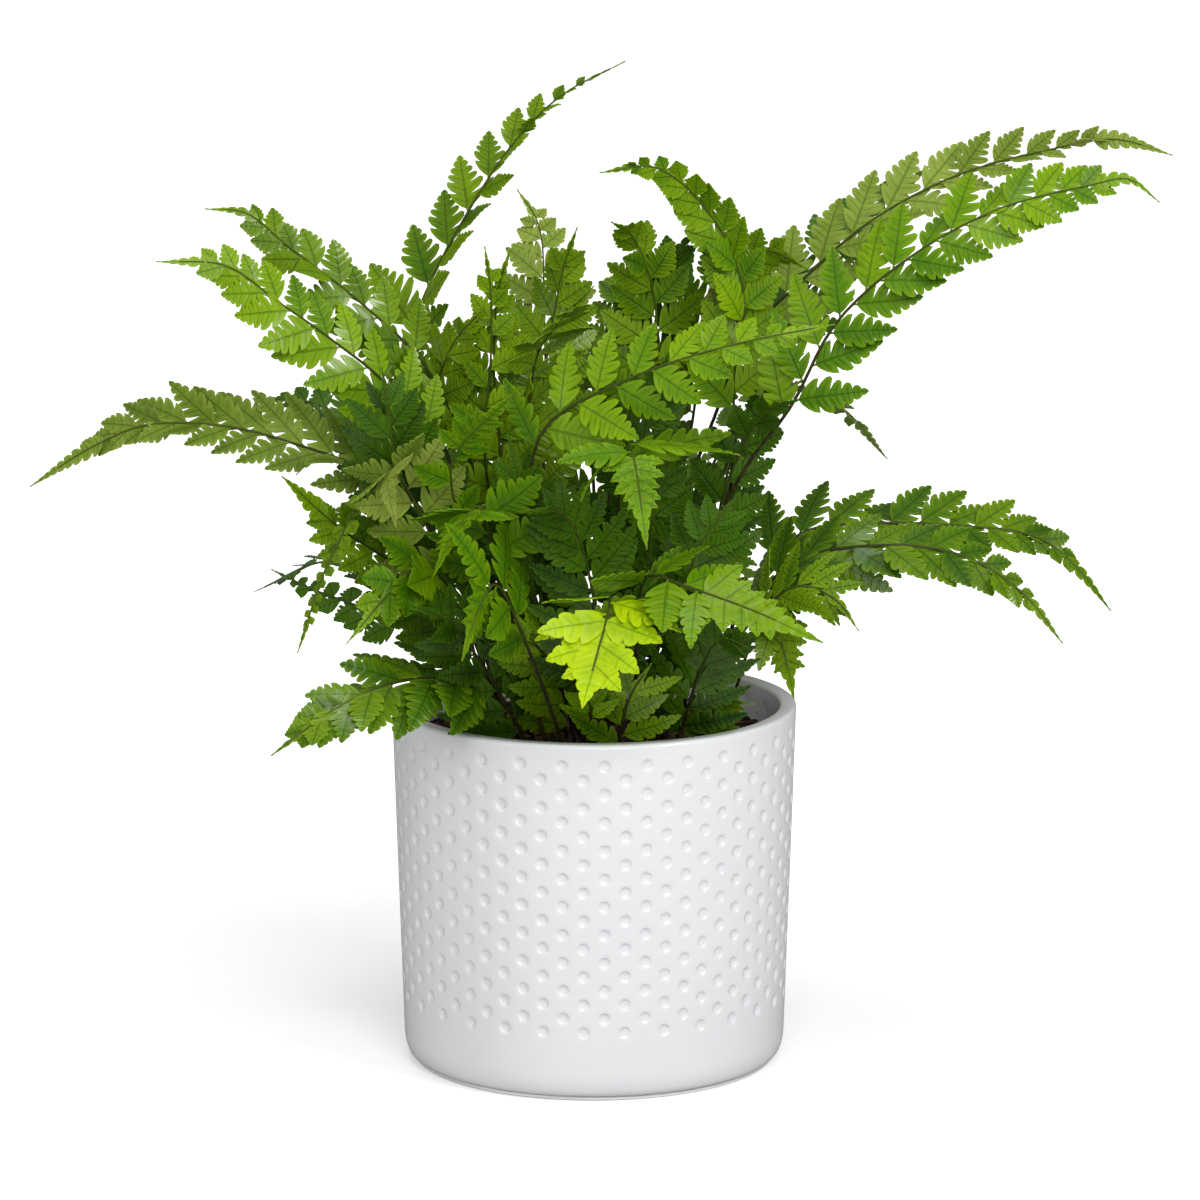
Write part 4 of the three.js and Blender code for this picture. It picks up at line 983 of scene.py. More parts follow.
@dataclass
class Leaflet:
    """One leaflet: a lobed, ribbed blade along a spine. Lengths are metres.

    spine gives the place, the way across and the way up at a share of the leaflet's length. forward is
    the side, 1 or -1, that looks to the frond's tip and is the broader one, or 0 where both are alike.
    cut is how deep the gaps between its lobes go, widest where it is broadest, fall how it narrows from
    there to its tip, and lean how far its lobes point forward. fold and curl turn its sides up and down,
    ripple raises each lobe, and stalk is the share of it that has no blade.
    """

    spine: Callable[[float], tuple[Vector, Vector, Vector]]
    length: float
    half_width: float
    lobes: int
    tint: float
    forward: int = 0
    cut: float = 0.5
    widest: float = 0.27
    fall: float = 0.66
    lean: float = 1.05
    fold: float = 0.1
    curl: float = 0.3
    ripple: float = 0.2
    stalk: float = 0.06

    RISE = 0.32
    LEAN_AT_BASE = 0.3
    LEAN_GROWTH = 1.6
    LOBE_CROWDING = 1.35
    LOPSIDED = 0.18
    LOPSIDED_UNTIL = 0.55
    DEPTH_AT_BASE = 1.25
    DEPTH_LOSS = 0.6
    CUT_SPREAD = 1.4
    DEEPER = 0.2
    STALK_HALF_WIDTH = 0.32 * MM
    TIP_HALF_WIDTH = 0.2 * MM
    CURVED_LENGTH = 25 * MM
    BROAD_LENGTH = 13 * MM
    FINE_LENGTH = 7 * MM
    BROAD_LOBE = ((0.0, 1.0), (0.08, 0.45), (0.28, 0.13), (0.54, 0.0), (0.82, 0.12))
    LOBE = ((0.0, 1.0), (0.2, 0.22), (0.68, 0.04))
    SMALL_LOBE = ((0.0, 1.0), (0.5, 0.0))
    PROBE_SHARES = (0.14, 0.4, 0.7, 1.0)
    PROBE_SIDES = (-0.9, 0.0, 0.9)

    def _half(self, share: float, across: float) -> float:
        """Measures the blade without its lobes.

        Args:
            share: How far along the leaflet's midrib, from 0 to 1.
            across: A place to its right, below 0, or to its left.

        Returns:
            Half its width there, on that side.
        """
        if share <= self.stalk:
            return self.STALK_HALF_WIDTH
        if share < self.widest:
            full = ((share - self.stalk) / (self.widest - self.stalk)) ** self.RISE
        else:
            full = ((1 - share) / (1 - self.widest)) ** self.fall
        side = math.copysign(self.forward, across * self.forward)
        full *= 1 + self.LOPSIDED * side * max(0.0, 1 - share / self.LOPSIDED_UNTIL)
        return max(self.half_width * full, self.TIP_HALF_WIDTH)

    def point(self, share: float, across: float, notch: float = 0.0) -> Vector:
        """A point on the blade.

        Args:
            share: How far along the leaflet's midrib, from 0 to 1.
            across: How far across, from -1 at its right edge to 1 at its left.
            notch: How deep in the gap between two lobes, from 0 to 1.

        Returns:
            The point.
        """
        depth = self.cut * (self.DEPTH_AT_BASE - self.DEPTH_LOSS * share)
        depth *= notch * ease(abs(across) * self.CUT_SPREAD)
        depth *= 1 + self.DEEPER * math.copysign(self.forward, across * self.forward)
        reach = abs(across) * self._half(share, across) * (1 - depth)
        lean = self.lean * min(self.LEAN_AT_BASE + self.LEAN_GROWTH * share, 1.0)
        place, side, up = self.spine(share + lean * reach * (1 - share) / self.length)
        lift = self.fold * reach - self.curl * reach * reach / self.half_width
        lift += self.ripple * reach * (0.5 - notch)
        return place + side * math.copysign(reach, across) + up * lift

    def probe(self) -> tuple[list[Vector], list[tuple[int, ...]]]:
        """A coarse copy of the blade, to test what it would cross.

        Returns:
            Its points and its faces.
        """
        points = [self.point(share, across) for share in self.PROBE_SHARES for across in self.PROBE_SIDES]
        corners = [3 * k + j for k in range(len(self.PROBE_SHARES) - 1) for j in range(2)]
        return points, [(corner, corner + 1, corner + 4, corner + 3) for corner in corners]

    def grow(self, bm: bmesh.types.BMesh, layer: bmesh.types.BMLayerItem) -> None:
        """Adds the blade's upper face to a mesh.

        Args:
            bm: The mesh.
            layer: The vertex layer that holds the lobe count, the place across and the tint.
        """
        if self.length > self.BROAD_LENGTH:
            lobe = self.BROAD_LOBE
        else:
            lobe = self.LOBE if self.length > self.FINE_LENGTH else self.SMALL_LOBE
        cuts = [((k + place) / self.lobes, notch) for k in range(self.lobes) for place, notch in lobe]
        cuts = [(0.0, 0.0), *cuts[1:], (1.0, 0.0)]
        rows = 4 if self.length > self.CURVED_LENGTH else 2
        grid = bmesh.ops.create_grid(bm, x_segments=len(cuts), y_segments=rows, size=0.5)["verts"]
        for vert in grid:
            column = round((vert.co.x + 0.5) * len(cuts))
            across = 2 * vert.co.y
            passed, notch = cuts[max(column - 1, 0)]
            share = self.stalk + (1 - self.stalk) * (1 - (1 - passed) ** self.LOBE_CROWDING)
            vert.co = self.point(share if column else 0.0, across, notch)
            vert[layer] = (passed * self.lobes, across, self.tint)


class Room:
    """The blades placed so far, by neighbourhood, so that new ones can be held clear of them."""

    CELL = 0.025

    def __init__(self) -> None:
        """Starts with nothing placed."""
        self.cells: dict[tuple[int, ...], list[tuple[int, BVHTree]]] = {}
        self.count = 0

    def _reached(self, points: list[Vector]) -> Iterator[tuple[int, ...]]:
        """Lists where a shape is.

        Args:
            points: The shape's points.

        Yields:
            The cells that its box touches.
        """
        low = [math.floor(min(point[k] for point in points) / self.CELL) for k in range(3)]
        high = [math.floor(max(point[k] for point in points) / self.CELL) for k in range(3)]
        for x in range(low[0], high[0] + 1):
            for y in range(low[1], high[1] + 1):
                for z in range(low[2], high[2] + 1):
                    yield (x, y, z)

    def crossed(self, points: list[Vector], faces: list[tuple[int, ...]]) -> int:
        """Counts the placed shapes that a new one would cross.

        Args:
            points: The new shape's points.
            faces: Its faces.

        Returns:
            How many it would cross.
        """
        tree = BVHTree.FromPolygons(points, faces)
        near = dict(placed for cell in self._reached(points) for placed in self.cells.get(cell, ()))
        return sum(1 for other in near.values() if tree.overlap(other))

    def place(self, points: list[Vector], faces: list[tuple[int, ...]]) -> None:
        """Adds a shape to what new ones are held clear of.

        Args:
            points: The shape's points.
            faces: Its faces.
        """
        tree = BVHTree.FromPolygons(points, faces)
        for cell in self._reached(points):
            self.cells.setdefault(cell, []).append((self.count, tree))
        self.count += 1


class Frond:
    """One frond: a wiry stem that becomes the rib, with lobed leaflets to both sides and a tail.

    The first block of values is for the rib, the second for its side leaflets, and the third for the tail
    and the lobes of a broad tail. A scatter is how far chance takes a value from its mean, a tint of 0 is
    the darkest green and 1 the lightest, and angles are degrees.
    """

    RIB_SIDES = 6
    STEM_STEP = 7 * MM
    FEWEST_STEM_STEPS = 4
    TAIL_STEPS = 4
    TAIL_STEP = 0.15
    STEM_RADIUS = 0.8 * MM
    TIP_RADIUS = 0.25 * MM
    THINNING = 1.3
    BURIED = 6 * MM
    ROOTED_STEPS = 3
    PROBED_STEPS = 3
    NEARNESS_AT = 0.7

    CROWDING = 1.25
    THICKNESS = 0.32 * MM
    SHORTEST = 3.5 * MM
    LENGTH_SCATTER = 0.07
    TAPER_EASING = 1.3
    TIP_SIZE = 0.46
    TIP_SHARE = 0.4
    SPACE_FILLED = 1.3
    NARROWEST = 0.19
    ROUNDEST = 0.46
    BROADER = (1.12, 2.0)
    CLOSED = 60
    STRAYING = 7
    LIFTING = 9
    DROOP = 0.16
    DROOP_SCATTER = 0.12
    TWIST = -0.12
    TWIST_SCATTER = 0.25
    FOLD = 0.12
    FOLD_SCATTER = 0.12
    TINT = 0.5
    TINT_SCATTER = 0.32
    TINT_RISE = 0.3
    FEWEST_LOBES = 4.2
    MOST_LOBES = 7
    LOBE_GROWTH = 12 * MM
    DEEPLY_CUT = 20 * MM
    LEAST_DEEPLY = 0.35
    DEEPEST_CUT = 0.6
    LIFTS = (0, 12, -12, 24, -24, 38, -38, 52)
    SIZES = (1.0, 0.88)

    TAIL_TINT = 0.75
    TAIL_TEETH = (4, 12)
    TAIL_TOOTH_STEP = 3.4 * MM
    TAIL_TOOTH_WIDTH = 0.8
    TAIL_WIDEST = 0.45
    BROAD_TAIL_TEETH = (5, 8)
    BROAD_TAIL_TOOTH_STEP = 1.6 * TAIL_TOOTH_STEP
    UNDIVIDED = 0.62
    FIRST_LOBE = 0.03
    LOBED_SHARE = 0.55
    LOBE_LENGTH = 1.15
    LOBE_TAPER = 0.8
    LOBE_SCATTER = 0.12
    LOBE_SPREAD = (72, 42)
    LOBE_LIFT = 5
    LOBE_DROOP = 0.12
    LOBE_HALF_WIDTH = 0.37
    LOBE_SPACING = 0.62
    LOBE_TINT = 0.7
    LOBE_TEETH = (3, 4)
    TOOTHED = 9 * MM

    def __init__(self, plan: FrondPlan) -> None:
        """Lays the rib out.

        Args:
            plan: The frond's course and cut.
        """
        self.plan = plan
        self.random = random.Random(plan.name)
        way = [Vector((*point, SOIL_LEVEL)[:3]) * MM for point in plan.way]
        self.course = Course(way)
        self.count = 2 * round(plan.leaflets * plan.finer / 2)
        self.blade_from = plan.bare * self.course.length
        blade = self.course.length - self.blade_from
        self.tail = plan.tip * MM if plan.broad else max(plan.tip * MM, plan.tail * blade)
        stem_steps = max(self.FEWEST_STEM_STEPS, round(self.blade_from / self.STEM_STEP))
        reached = [self.blade_from * k / stem_steps for k in range(stem_steps + 1)]
        carried = blade - self.tail
        for k in range(1, self.count + 1):
            reached.append(self.blade_from + carried * (1 - (1 - k / self.count) ** self.CROWDING))
        for k in range(1, self.TAIL_STEPS + 1):
            reached.append(self.course.length - self.tail * (1 - self.TAIL_STEP * k))
        self.first = stem_steps
        self.stations = [self._station(distance / self.course.length) for distance in reached]
        self._turn(self.first + self.count // 2, Vector(plan.faces))

    def _station(self, share: float) -> Station:
        """The rib's place at a share of its length."""
        radius = blend(self.STEM_RADIUS, self.TIP_RADIUS, share ** self.THINNING)
        return Station(self.course.point(share), self.course.heading(share), share, radius)

    @property
    def nearness(self) -> float:
        """How far back most of the frond is, from which the order of the fronds follows."""
        return self.course.point(self.NEARNESS_AT).y

    def _turn(self, middle: int, facing: Vector) -> None:
        """Turns the rib without twist from its middle both ways.

        Args:
            middle: The number of the station that faces the right way.
            facing: The way that it faces.
        """
        self.stations[middle].turn(facing)
        for k in range(middle - 1, -1, -1):
            self.stations[k].turn(self.stations[k + 1].up)
        for k in range(middle + 1, len(self.stations)):
            self.stations[k].turn(self.stations[k - 1].up)

    def stem_probe(self) -> Iterator[tuple[list[Vector], list[tuple[int, ...]]]]:
        """Makes coarse copies of stretches of the rib, to test what would cross it.

        Yields:
            The points and the faces of each stretch.
        """
        for k in range(0, len(self.stations) - 1, self.PROBED_STEPS):
            part = self.stations[k:k + self.PROBED_STEPS + 1]
            points = [station.place + side * station.radius * turn
                      for station in part for side in (station.left, station.up) for turn in (1, -1)]
            faces = [(4 * j + a, 4 * j + b, 4 * j + 4 + b, 4 * j + 4 + a)
                     for j in range(len(part) - 1) for a, b in ((0, 1), (2, 3))]
            yield points, faces

    def _reach(self, side: int, share: float) -> float:
        """Measures the leaflets, as on the coarse solid.

        Args:
            side: Which side they are on: 1 left, -1 right.
            share: How far along the rib, from 0 to 1.

        Returns:
            How long they are there.
        """
        blade = (1 - share) / (1 - self.plan.bare)
        size = 1.0 if self.plan.broad else blend(self.TIP_SIZE, 1.0, min(blade / self.TIP_SHARE, 1.0))
        longest = size * self.plan.reach[0 if side > 0 else 1] * MM
        return longest * blade ** (self.plan.taper / self.TAPER_EASING)

    def _side_leaflet(self, index: int, tilt: float, size: float, mood: tuple[float, ...]) -> Leaflet:
        """One leaflet, tilted out of the rib's plane.

        Args:
            index: Its number along the rib. Even ones stand to the left.
            tilt: How far it is lifted, in degrees.
            size: Its share of its full length.
            mood: Four chance values between -1 and 1 that make it its own.

        Returns:
            The leaflet.
        """
        plan = self.plan
        near, far = self.stations[self.first + index], self.stations[self.first + index + 1]
        side = 1 if index % 2 == 0 else -1
        along = (index + 0.5) / self.count
        reach = self._reach(side, (near.share + far.share) / 2)
        length = size * max(self.SHORTEST, reach * (1 + self.LENGTH_SCATTER * mood[0]))
        spacing = 2 * (far.place - near.place).length
        filled = self.SPACE_FILLED * spacing / 2
        at_base, at_tip = self.BROADER
        broader = blend(at_base, at_tip - plan.closing / self.CLOSED, along * along)
        broadest = min(plan.plump * broader, self.ROUNDEST)
        half_width = plan.wide * min(max(filled, length * self.NARROWEST), length * broadest)
        root = Station((near.place + far.place) / 2, (near.ahead + far.ahead).normalized(), far.share, 0.0)
        root.turn(near.up + far.up)
        angle = blend(*plan.spread, along) + self.STRAYING * mood[1]
        stand = plan.lift[0 if side > 0 else 1] + plan.closing * along * along
        lift = stand + tilt + self.LIFTING * mood[2]
        droop = self.DROOP + self.DROOP_SCATTER * mood[3]
        twist = self.TWIST + self.TWIST_SCATTER * mood[1]
        spine = root.branch(side * length, angle, lift, droop, twist)
        lobes = min(round(self.FEWEST_LOBES + length / self.LOBE_GROWTH), self.MOST_LOBES)
        # plan.shade is partly painted light and shade laid on the whole frond.
        tint = self.TINT + plan.shade + self.TINT_SCATTER * mood[0] + self.TINT_RISE * (along - 0.5)
        cut = min(max(length / self.DEEPLY_CUT, self.LEAST_DEEPLY), 1.0) * self.DEEPEST_CUT
        fold = self.FOLD + self.FOLD_SCATTER * mood[2]
        return Leaflet(spine, length, half_width, lobes, tint, -side, cut=cut, fold=fold)

    def _tail_leaflet(self) -> Leaflet:
        """Makes the blade at the rib's end, which follows the rib's own curve and runs out thin.

        Returns:
            The blade, or what is undivided of it where it has lobes of its own.
        """
        station = self.stations[self.first + self.count]
        share_from = 1 - self.tail / self.course.length

        def spine(share: float) -> tuple[Vector, Vector, Vector]:
            """The leaflet's place and turn at a share of its length."""
            return self.course.point(blend(share_from, 1.0, share)), station.left, station.up

        tint = self.TAIL_TINT + self.plan.shade
        if self.plan.broad:
            fewest, most = self.BROAD_TAIL_TEETH
            teeth = min(max(round(self.tail / self.BROAD_TAIL_TOOTH_STEP), fewest), most)
            return Leaflet(spine, self.tail, self.tail * self.plan.slim * self.UNDIVIDED, teeth, tint,
                           cut=0.46, widest=0.2, fall=0.95, lean=0.85, stalk=0.0)
        last = self._reach(1, share_from) + self._reach(-1, share_from)
        half_width = min(self.tail * self.plan.slim, self.TAIL_WIDEST * last)
        fewest, most = self.TAIL_TEETH
        step = max(self.TAIL_TOOTH_STEP, self.TAIL_TOOTH_WIDTH * half_width)
        teeth = min(max(round(self.tail / step), fewest), most)
        return Leaflet(spine, self.tail, half_width, teeth, tint,
                       cut=0.5, widest=0.1, fall=1.05, lean=0.9, stalk=0.0)

    def _tail_lobes(self) -> Iterator[Leaflet]:
        """Divides a broad tail.

        Yields:
            The lobes at its left and right, the largest at its base.
        """
        station = self.stations[self.first + self.count]
        tint = self.LOBE_TINT + self.plan.shade
        few, many = self.LOBE_TEETH
        share = self.FIRST_LOBE
        while share < self.LOBED_SHARE:
            place = blend(1 - self.tail / self.course.length, 1.0, share)
            root = Station(self.course.point(place), self.course.heading(place), place, 0.0)
            root.turn(station.up)
            length = self.LOBE_LENGTH * self.plan.slim * self.tail * (1 - share) ** self.LOBE_TAPER
            angle = blend(*self.LOBE_SPREAD, share)
            for side in (1, -1):
                reach = length * (1 + self.LOBE_SCATTER * self.random.uniform(-1, 1))
                spine = root.branch(side * reach, angle, self.LOBE_LIFT, self.LOBE_DROOP, 0.0)
                teeth = many if reach > self.TOOTHED else few
                yield Leaflet(spine, reach, self.LOBE_HALF_WIDTH * reach, teeth, tint, -side,
                              cut=0.36, widest=0.3, fall=0.7, lean=0.8, stalk=0.0)
            share += self.LOBE_SPACING * (2 * self.LOBE_HALF_WIDTH) * length / self.tail

    def grow_leaflets(self, room: Room) -> list[Leaflet]:
        """Places the leaflets, each lifted or drooped so that it crosses as little as it can.

        Args:
            room: What they are held clear of. They are added to it.

        Returns:
            The leaflets, with the one at the tip first.
        """
        leaflets = [self._tail_leaflet()]
        if self.plan.broad:
            leaflets += self._tail_lobes()
        for leaflet in leaflets:
            room.place(*leaflet.probe())
        for index in range(self.count):
            mood = tuple(self.random.uniform(-1, 1) for _ in range(4))
            best, fewest = None, math.inf
            for size in self.SIZES:
                for tilt in self.LIFTS:
                    leaflet = self._side_leaflet(index, tilt, size, mood)
                    crossed = room.crossed(*leaflet.probe())
                    if crossed < fewest:
                        best, fewest = leaflet, crossed
                    if not crossed:
                        break
                if not fewest:
                    break
            room.place(*best.probe())
            leaflets.append(best)
        return leaflets

    def build(self, room: Room, leaf: bpy.types.Material, stem: bpy.types.Material) -> bpy.types.Object:
        """Makes the frond.

        Args:
            room: What its leaflets are held clear of.
            leaf: The material of its blades.
            stem: The material of its stem and rib.

        Returns:
            The piece.
        """
        bm = bmesh.new()
        layer = bm.verts.layers.float_vector.new("cut")
        foot = self.stations[0]
        rise = (self.stations[self.ROOTED_STEPS].place - foot.place).normalized()
        buried = Station(foot.place - rise * self.BURIED, foot.ahead, 0.0, foot.radius, foot.up, foot.left)
        rib = [buried, *self.stations]
        for number, vert in enumerate(grow_tube(bm, rib, self.RIB_SIDES)):
            share = rib[number // self.RIB_SIDES].share
            vert[layer] = (share, 0.0, 0.0)
        for face in bm.faces:
            face.material_index = 1
        rib_faces = len(bm.faces)
        for leaflet in self.grow_leaflets(room):
            leaflet.grow(bm, layer)
        bm.normal_update()
        bm.faces.ensure_lookup_table()
        bmesh.ops.solidify(bm, geom=bm.faces[rib_faces:], thickness=self.THICKNESS)
        piece = finish_piece(bm, f"fern_{self.plan.name}", [leaf, stem])
        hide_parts(f"frond_{self.plan.name}")
        return piece


@dataclass
class Pot:
    """The pot: a slightly flared cylinder with a staggered net of dimples. Lengths are millimetres.

    inner_foot and outer_foot are points of the foot ring's section, out from its inner or outer side
    and up. The dimples' slip, and the scatter of their radius and depth, make each a little its own.
    """

    height: float = 130
    rim_radius: float = 72.5
    rim_rounding: float = 1.4
    wall: float = 6
    base: float = 7
    foot_radius: float = 64.6
    foot_ring: float = 6
    foot_recess: float = 1.5
    foot_corner: float = 1.2
    foot_groove: float = 0.9
    inner_foot: tuple[tuple[float, float], ...] = ((-0.3, 0.9), (0, 0.2), (0.4, 0))
    outer_foot: tuple[tuple[float, float], ...] = ((-0.4, 0), (0, 0.3), (0, 0.9), (-0.3, 1.2), (-0.9, 1.3))
    heel_radius: float = 65.2
    heel_foot: float = 1.8
    heel_rise: float = 11
    heel_steps: int = 9
    rim_steps: int = 6
    wall_foot_radius: float = 68.6
    inner_foot_radius: float = 62
    inner_corner: float = 3
    below_soil: float = 2
    dimple_depth: float = 0.66
    dimple_slip: float = 0.08
    radius_scatter: tuple[float, float] = (0.95, 1.05)
    depth_scatter: tuple[float, float] = (0.85, 1.1)
    dimple_flatness: float = 2.6
    wall_step: float = 0.86
    quarter_steps: int = 132
    outer_skin: float = 1
    weld: float = 0.01

    def _wall_radius(self, z: float) -> float:
        """The outer wall's radius at a height."""
        share = (z - self.heel_rise) / (self.height - self.heel_rise)
        return blend(self.wall_foot_radius, self.rim_radius, share)

    def _inner_radius(self, z: float) -> float:
        """The inner wall's radius at a height."""
        share = (z - self.base) / (self.height - self.base)
        return blend(self.inner_foot_radius, self.rim_radius - self.wall, share)

    def profile(self) -> list[tuple[float, float]]:
        """Draws the pot's section.

        Returns:
            Its radii and heights, from the axis under its foot to the axis on its inner floor.
        """
        ring = self.foot_radius - self.foot_ring
        points = [(0, self.foot_recess), (ring - self.foot_corner, self.foot_recess)]
        points += [(ring + out, up) for out, up in self.inner_foot]
        points += [(self.foot_radius + out, up) for out, up in self.outer_foot]
        points.append((self.foot_radius - self.foot_groove, self.heel_foot))
        for turn in quarter_turn(self.heel_steps):
            points.append((blend(self.heel_radius, self.wall_foot_radius, math.sin(turn)),
                           blend(self.heel_foot, self.heel_rise, 1 - math.cos(turn))))
        low, high = self.heel_rise, self.height - self.rim_rounding
        steps = round((high - low) / self.wall_step)
        for k in range(1, steps + 1):
            z = blend(low, high, k / steps)
            points.append((self._wall_radius(z), z))
        outer, inner = self._wall_radius(high), self._inner_radius(high)
        rounding, turns = self.rim_rounding, quarter_turn(self.rim_steps)
        for turn in turns[1:]:
            points.append((outer - rounding * (1 - math.cos(turn)), high + rounding * math.sin(turn)))
        for turn in turns[-2::-1]:
            points.append((inner + rounding * (1 - math.cos(turn)), high + rounding * math.sin(turn)))
        inside = (self.height - self.wall, SOIL_LEVEL - self.below_soil, SOIL_LEVEL / 2,
                  self.base + self.inner_corner)
        points += [(self._inner_radius(z), z) for z in inside]
        return [*points, (self.inner_foot_radius - self.inner_corner, self.base), (0, self.base)]

    def dimples(self) -> dict[tuple[int, int], tuple[float, ...]]:
        """Places the dimples.

        Returns:
            Each one's slips up and sideways, its radius and its depth, by row and column.
        """
        chance = random.Random("dimples")
        slip = (-self.dimple_slip, self.dimple_slip)
        return {(k, j): (chance.uniform(*slip), chance.uniform(*slip),
                         DIMPLES.radius * chance.uniform(*self.radius_scatter),
                         self.dimple_depth * chance.uniform(*self.depth_scatter))
                for k in range(DIMPLES.rows) for j in range(k % 2, DIMPLES.columns, 2)}

    def sink(self, dimples: dict[tuple[int, int], tuple[float, ...]], angle: float, z: float) -> float:
        """Measures how deep a place on the wall lies in its nearest dimple.

        Args:
            dimples: What dimples() returns.
            angle: The place's angle round the pot.
            z: Its height.

        Returns:
            The depth, 0 between dimples.
        """
        row = round((DIMPLES.top - z) / DIMPLES.step)
        column = (angle + math.pi / 2) / DIMPLES.pitch - 0.5
        depth = 0.0
        for k in range(max(row - 1, 0), min(row + 2, DIMPLES.rows)):
            j = 2 * round((column - k % 2) / 2) + k % 2
            rise, slip, radius, deep = dimples[k, j % DIMPLES.columns]
            across = (column - j) * DIMPLES.pitch * self._wall_radius(z) + slip
            away = math.hypot(across, z - DIMPLES.top + k * DIMPLES.step + rise) / radius
            depth = max(depth, deep * (1 - away ** self.dimple_flatness))
        return depth

    def build(self, glaze: bpy.types.Material) -> bpy.types.Object:
        """Makes the pot.

        Args:
            glaze: Its material.

        Returns:
            The piece.
        """
        bm = bmesh.new()
        section = [bm.verts.new((r * MM, 0, z * MM)) for r, z in self.profile()]
        edges = [bm.edges.new(pair) for pair in zip(section, section[1:])]
        bmesh.ops.spin(bm, geom=section + edges, axis=(0, 0, 1), cent=(0, 0, 0), angle=math.pi / 2,
                       steps=self.quarter_steps)
        quarter = bm.faces[:]
        for turn in (1, 2, 3):
            copy = bmesh.ops.duplicate(bm, geom=quarter)["geom"]
            verts = [item for item in copy if isinstance(item, bmesh.types.BMVert)]
            turned = Matrix.Rotation(turn * math.pi / 2, 3, "Z")
            bmesh.ops.rotate(bm, cent=(0, 0, 0), matrix=turned, verts=verts)
        bmesh.ops.remove_doubles(bm, verts=bm.verts[:], dist=self.weld * MM)
        band = (DIMPLES.top - DIMPLES.rows * DIMPLES.step, DIMPLES.top + DIMPLES.step)
        dimples = self.dimples()
        for vert in bm.verts:
            radius, z = math.hypot(vert.co.x, vert.co.y), vert.co.z / MM
            if band[0] < z < band[1] and radius > (self._wall_radius(z) - self.outer_skin) * MM:
                depth = self.sink(dimples, math.atan2(vert.co.y, vert.co.x), z)
                share = 1 - depth * MM / radius
                vert.co = (vert.co.x * share, vert.co.y * share, vert.co.z)
        bmesh.ops.recalc_face_normals(bm, faces=bm.faces[:])
        piece = finish_piece(bm, "dimpled_pot", [glaze])
        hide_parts("pot")
        return piece


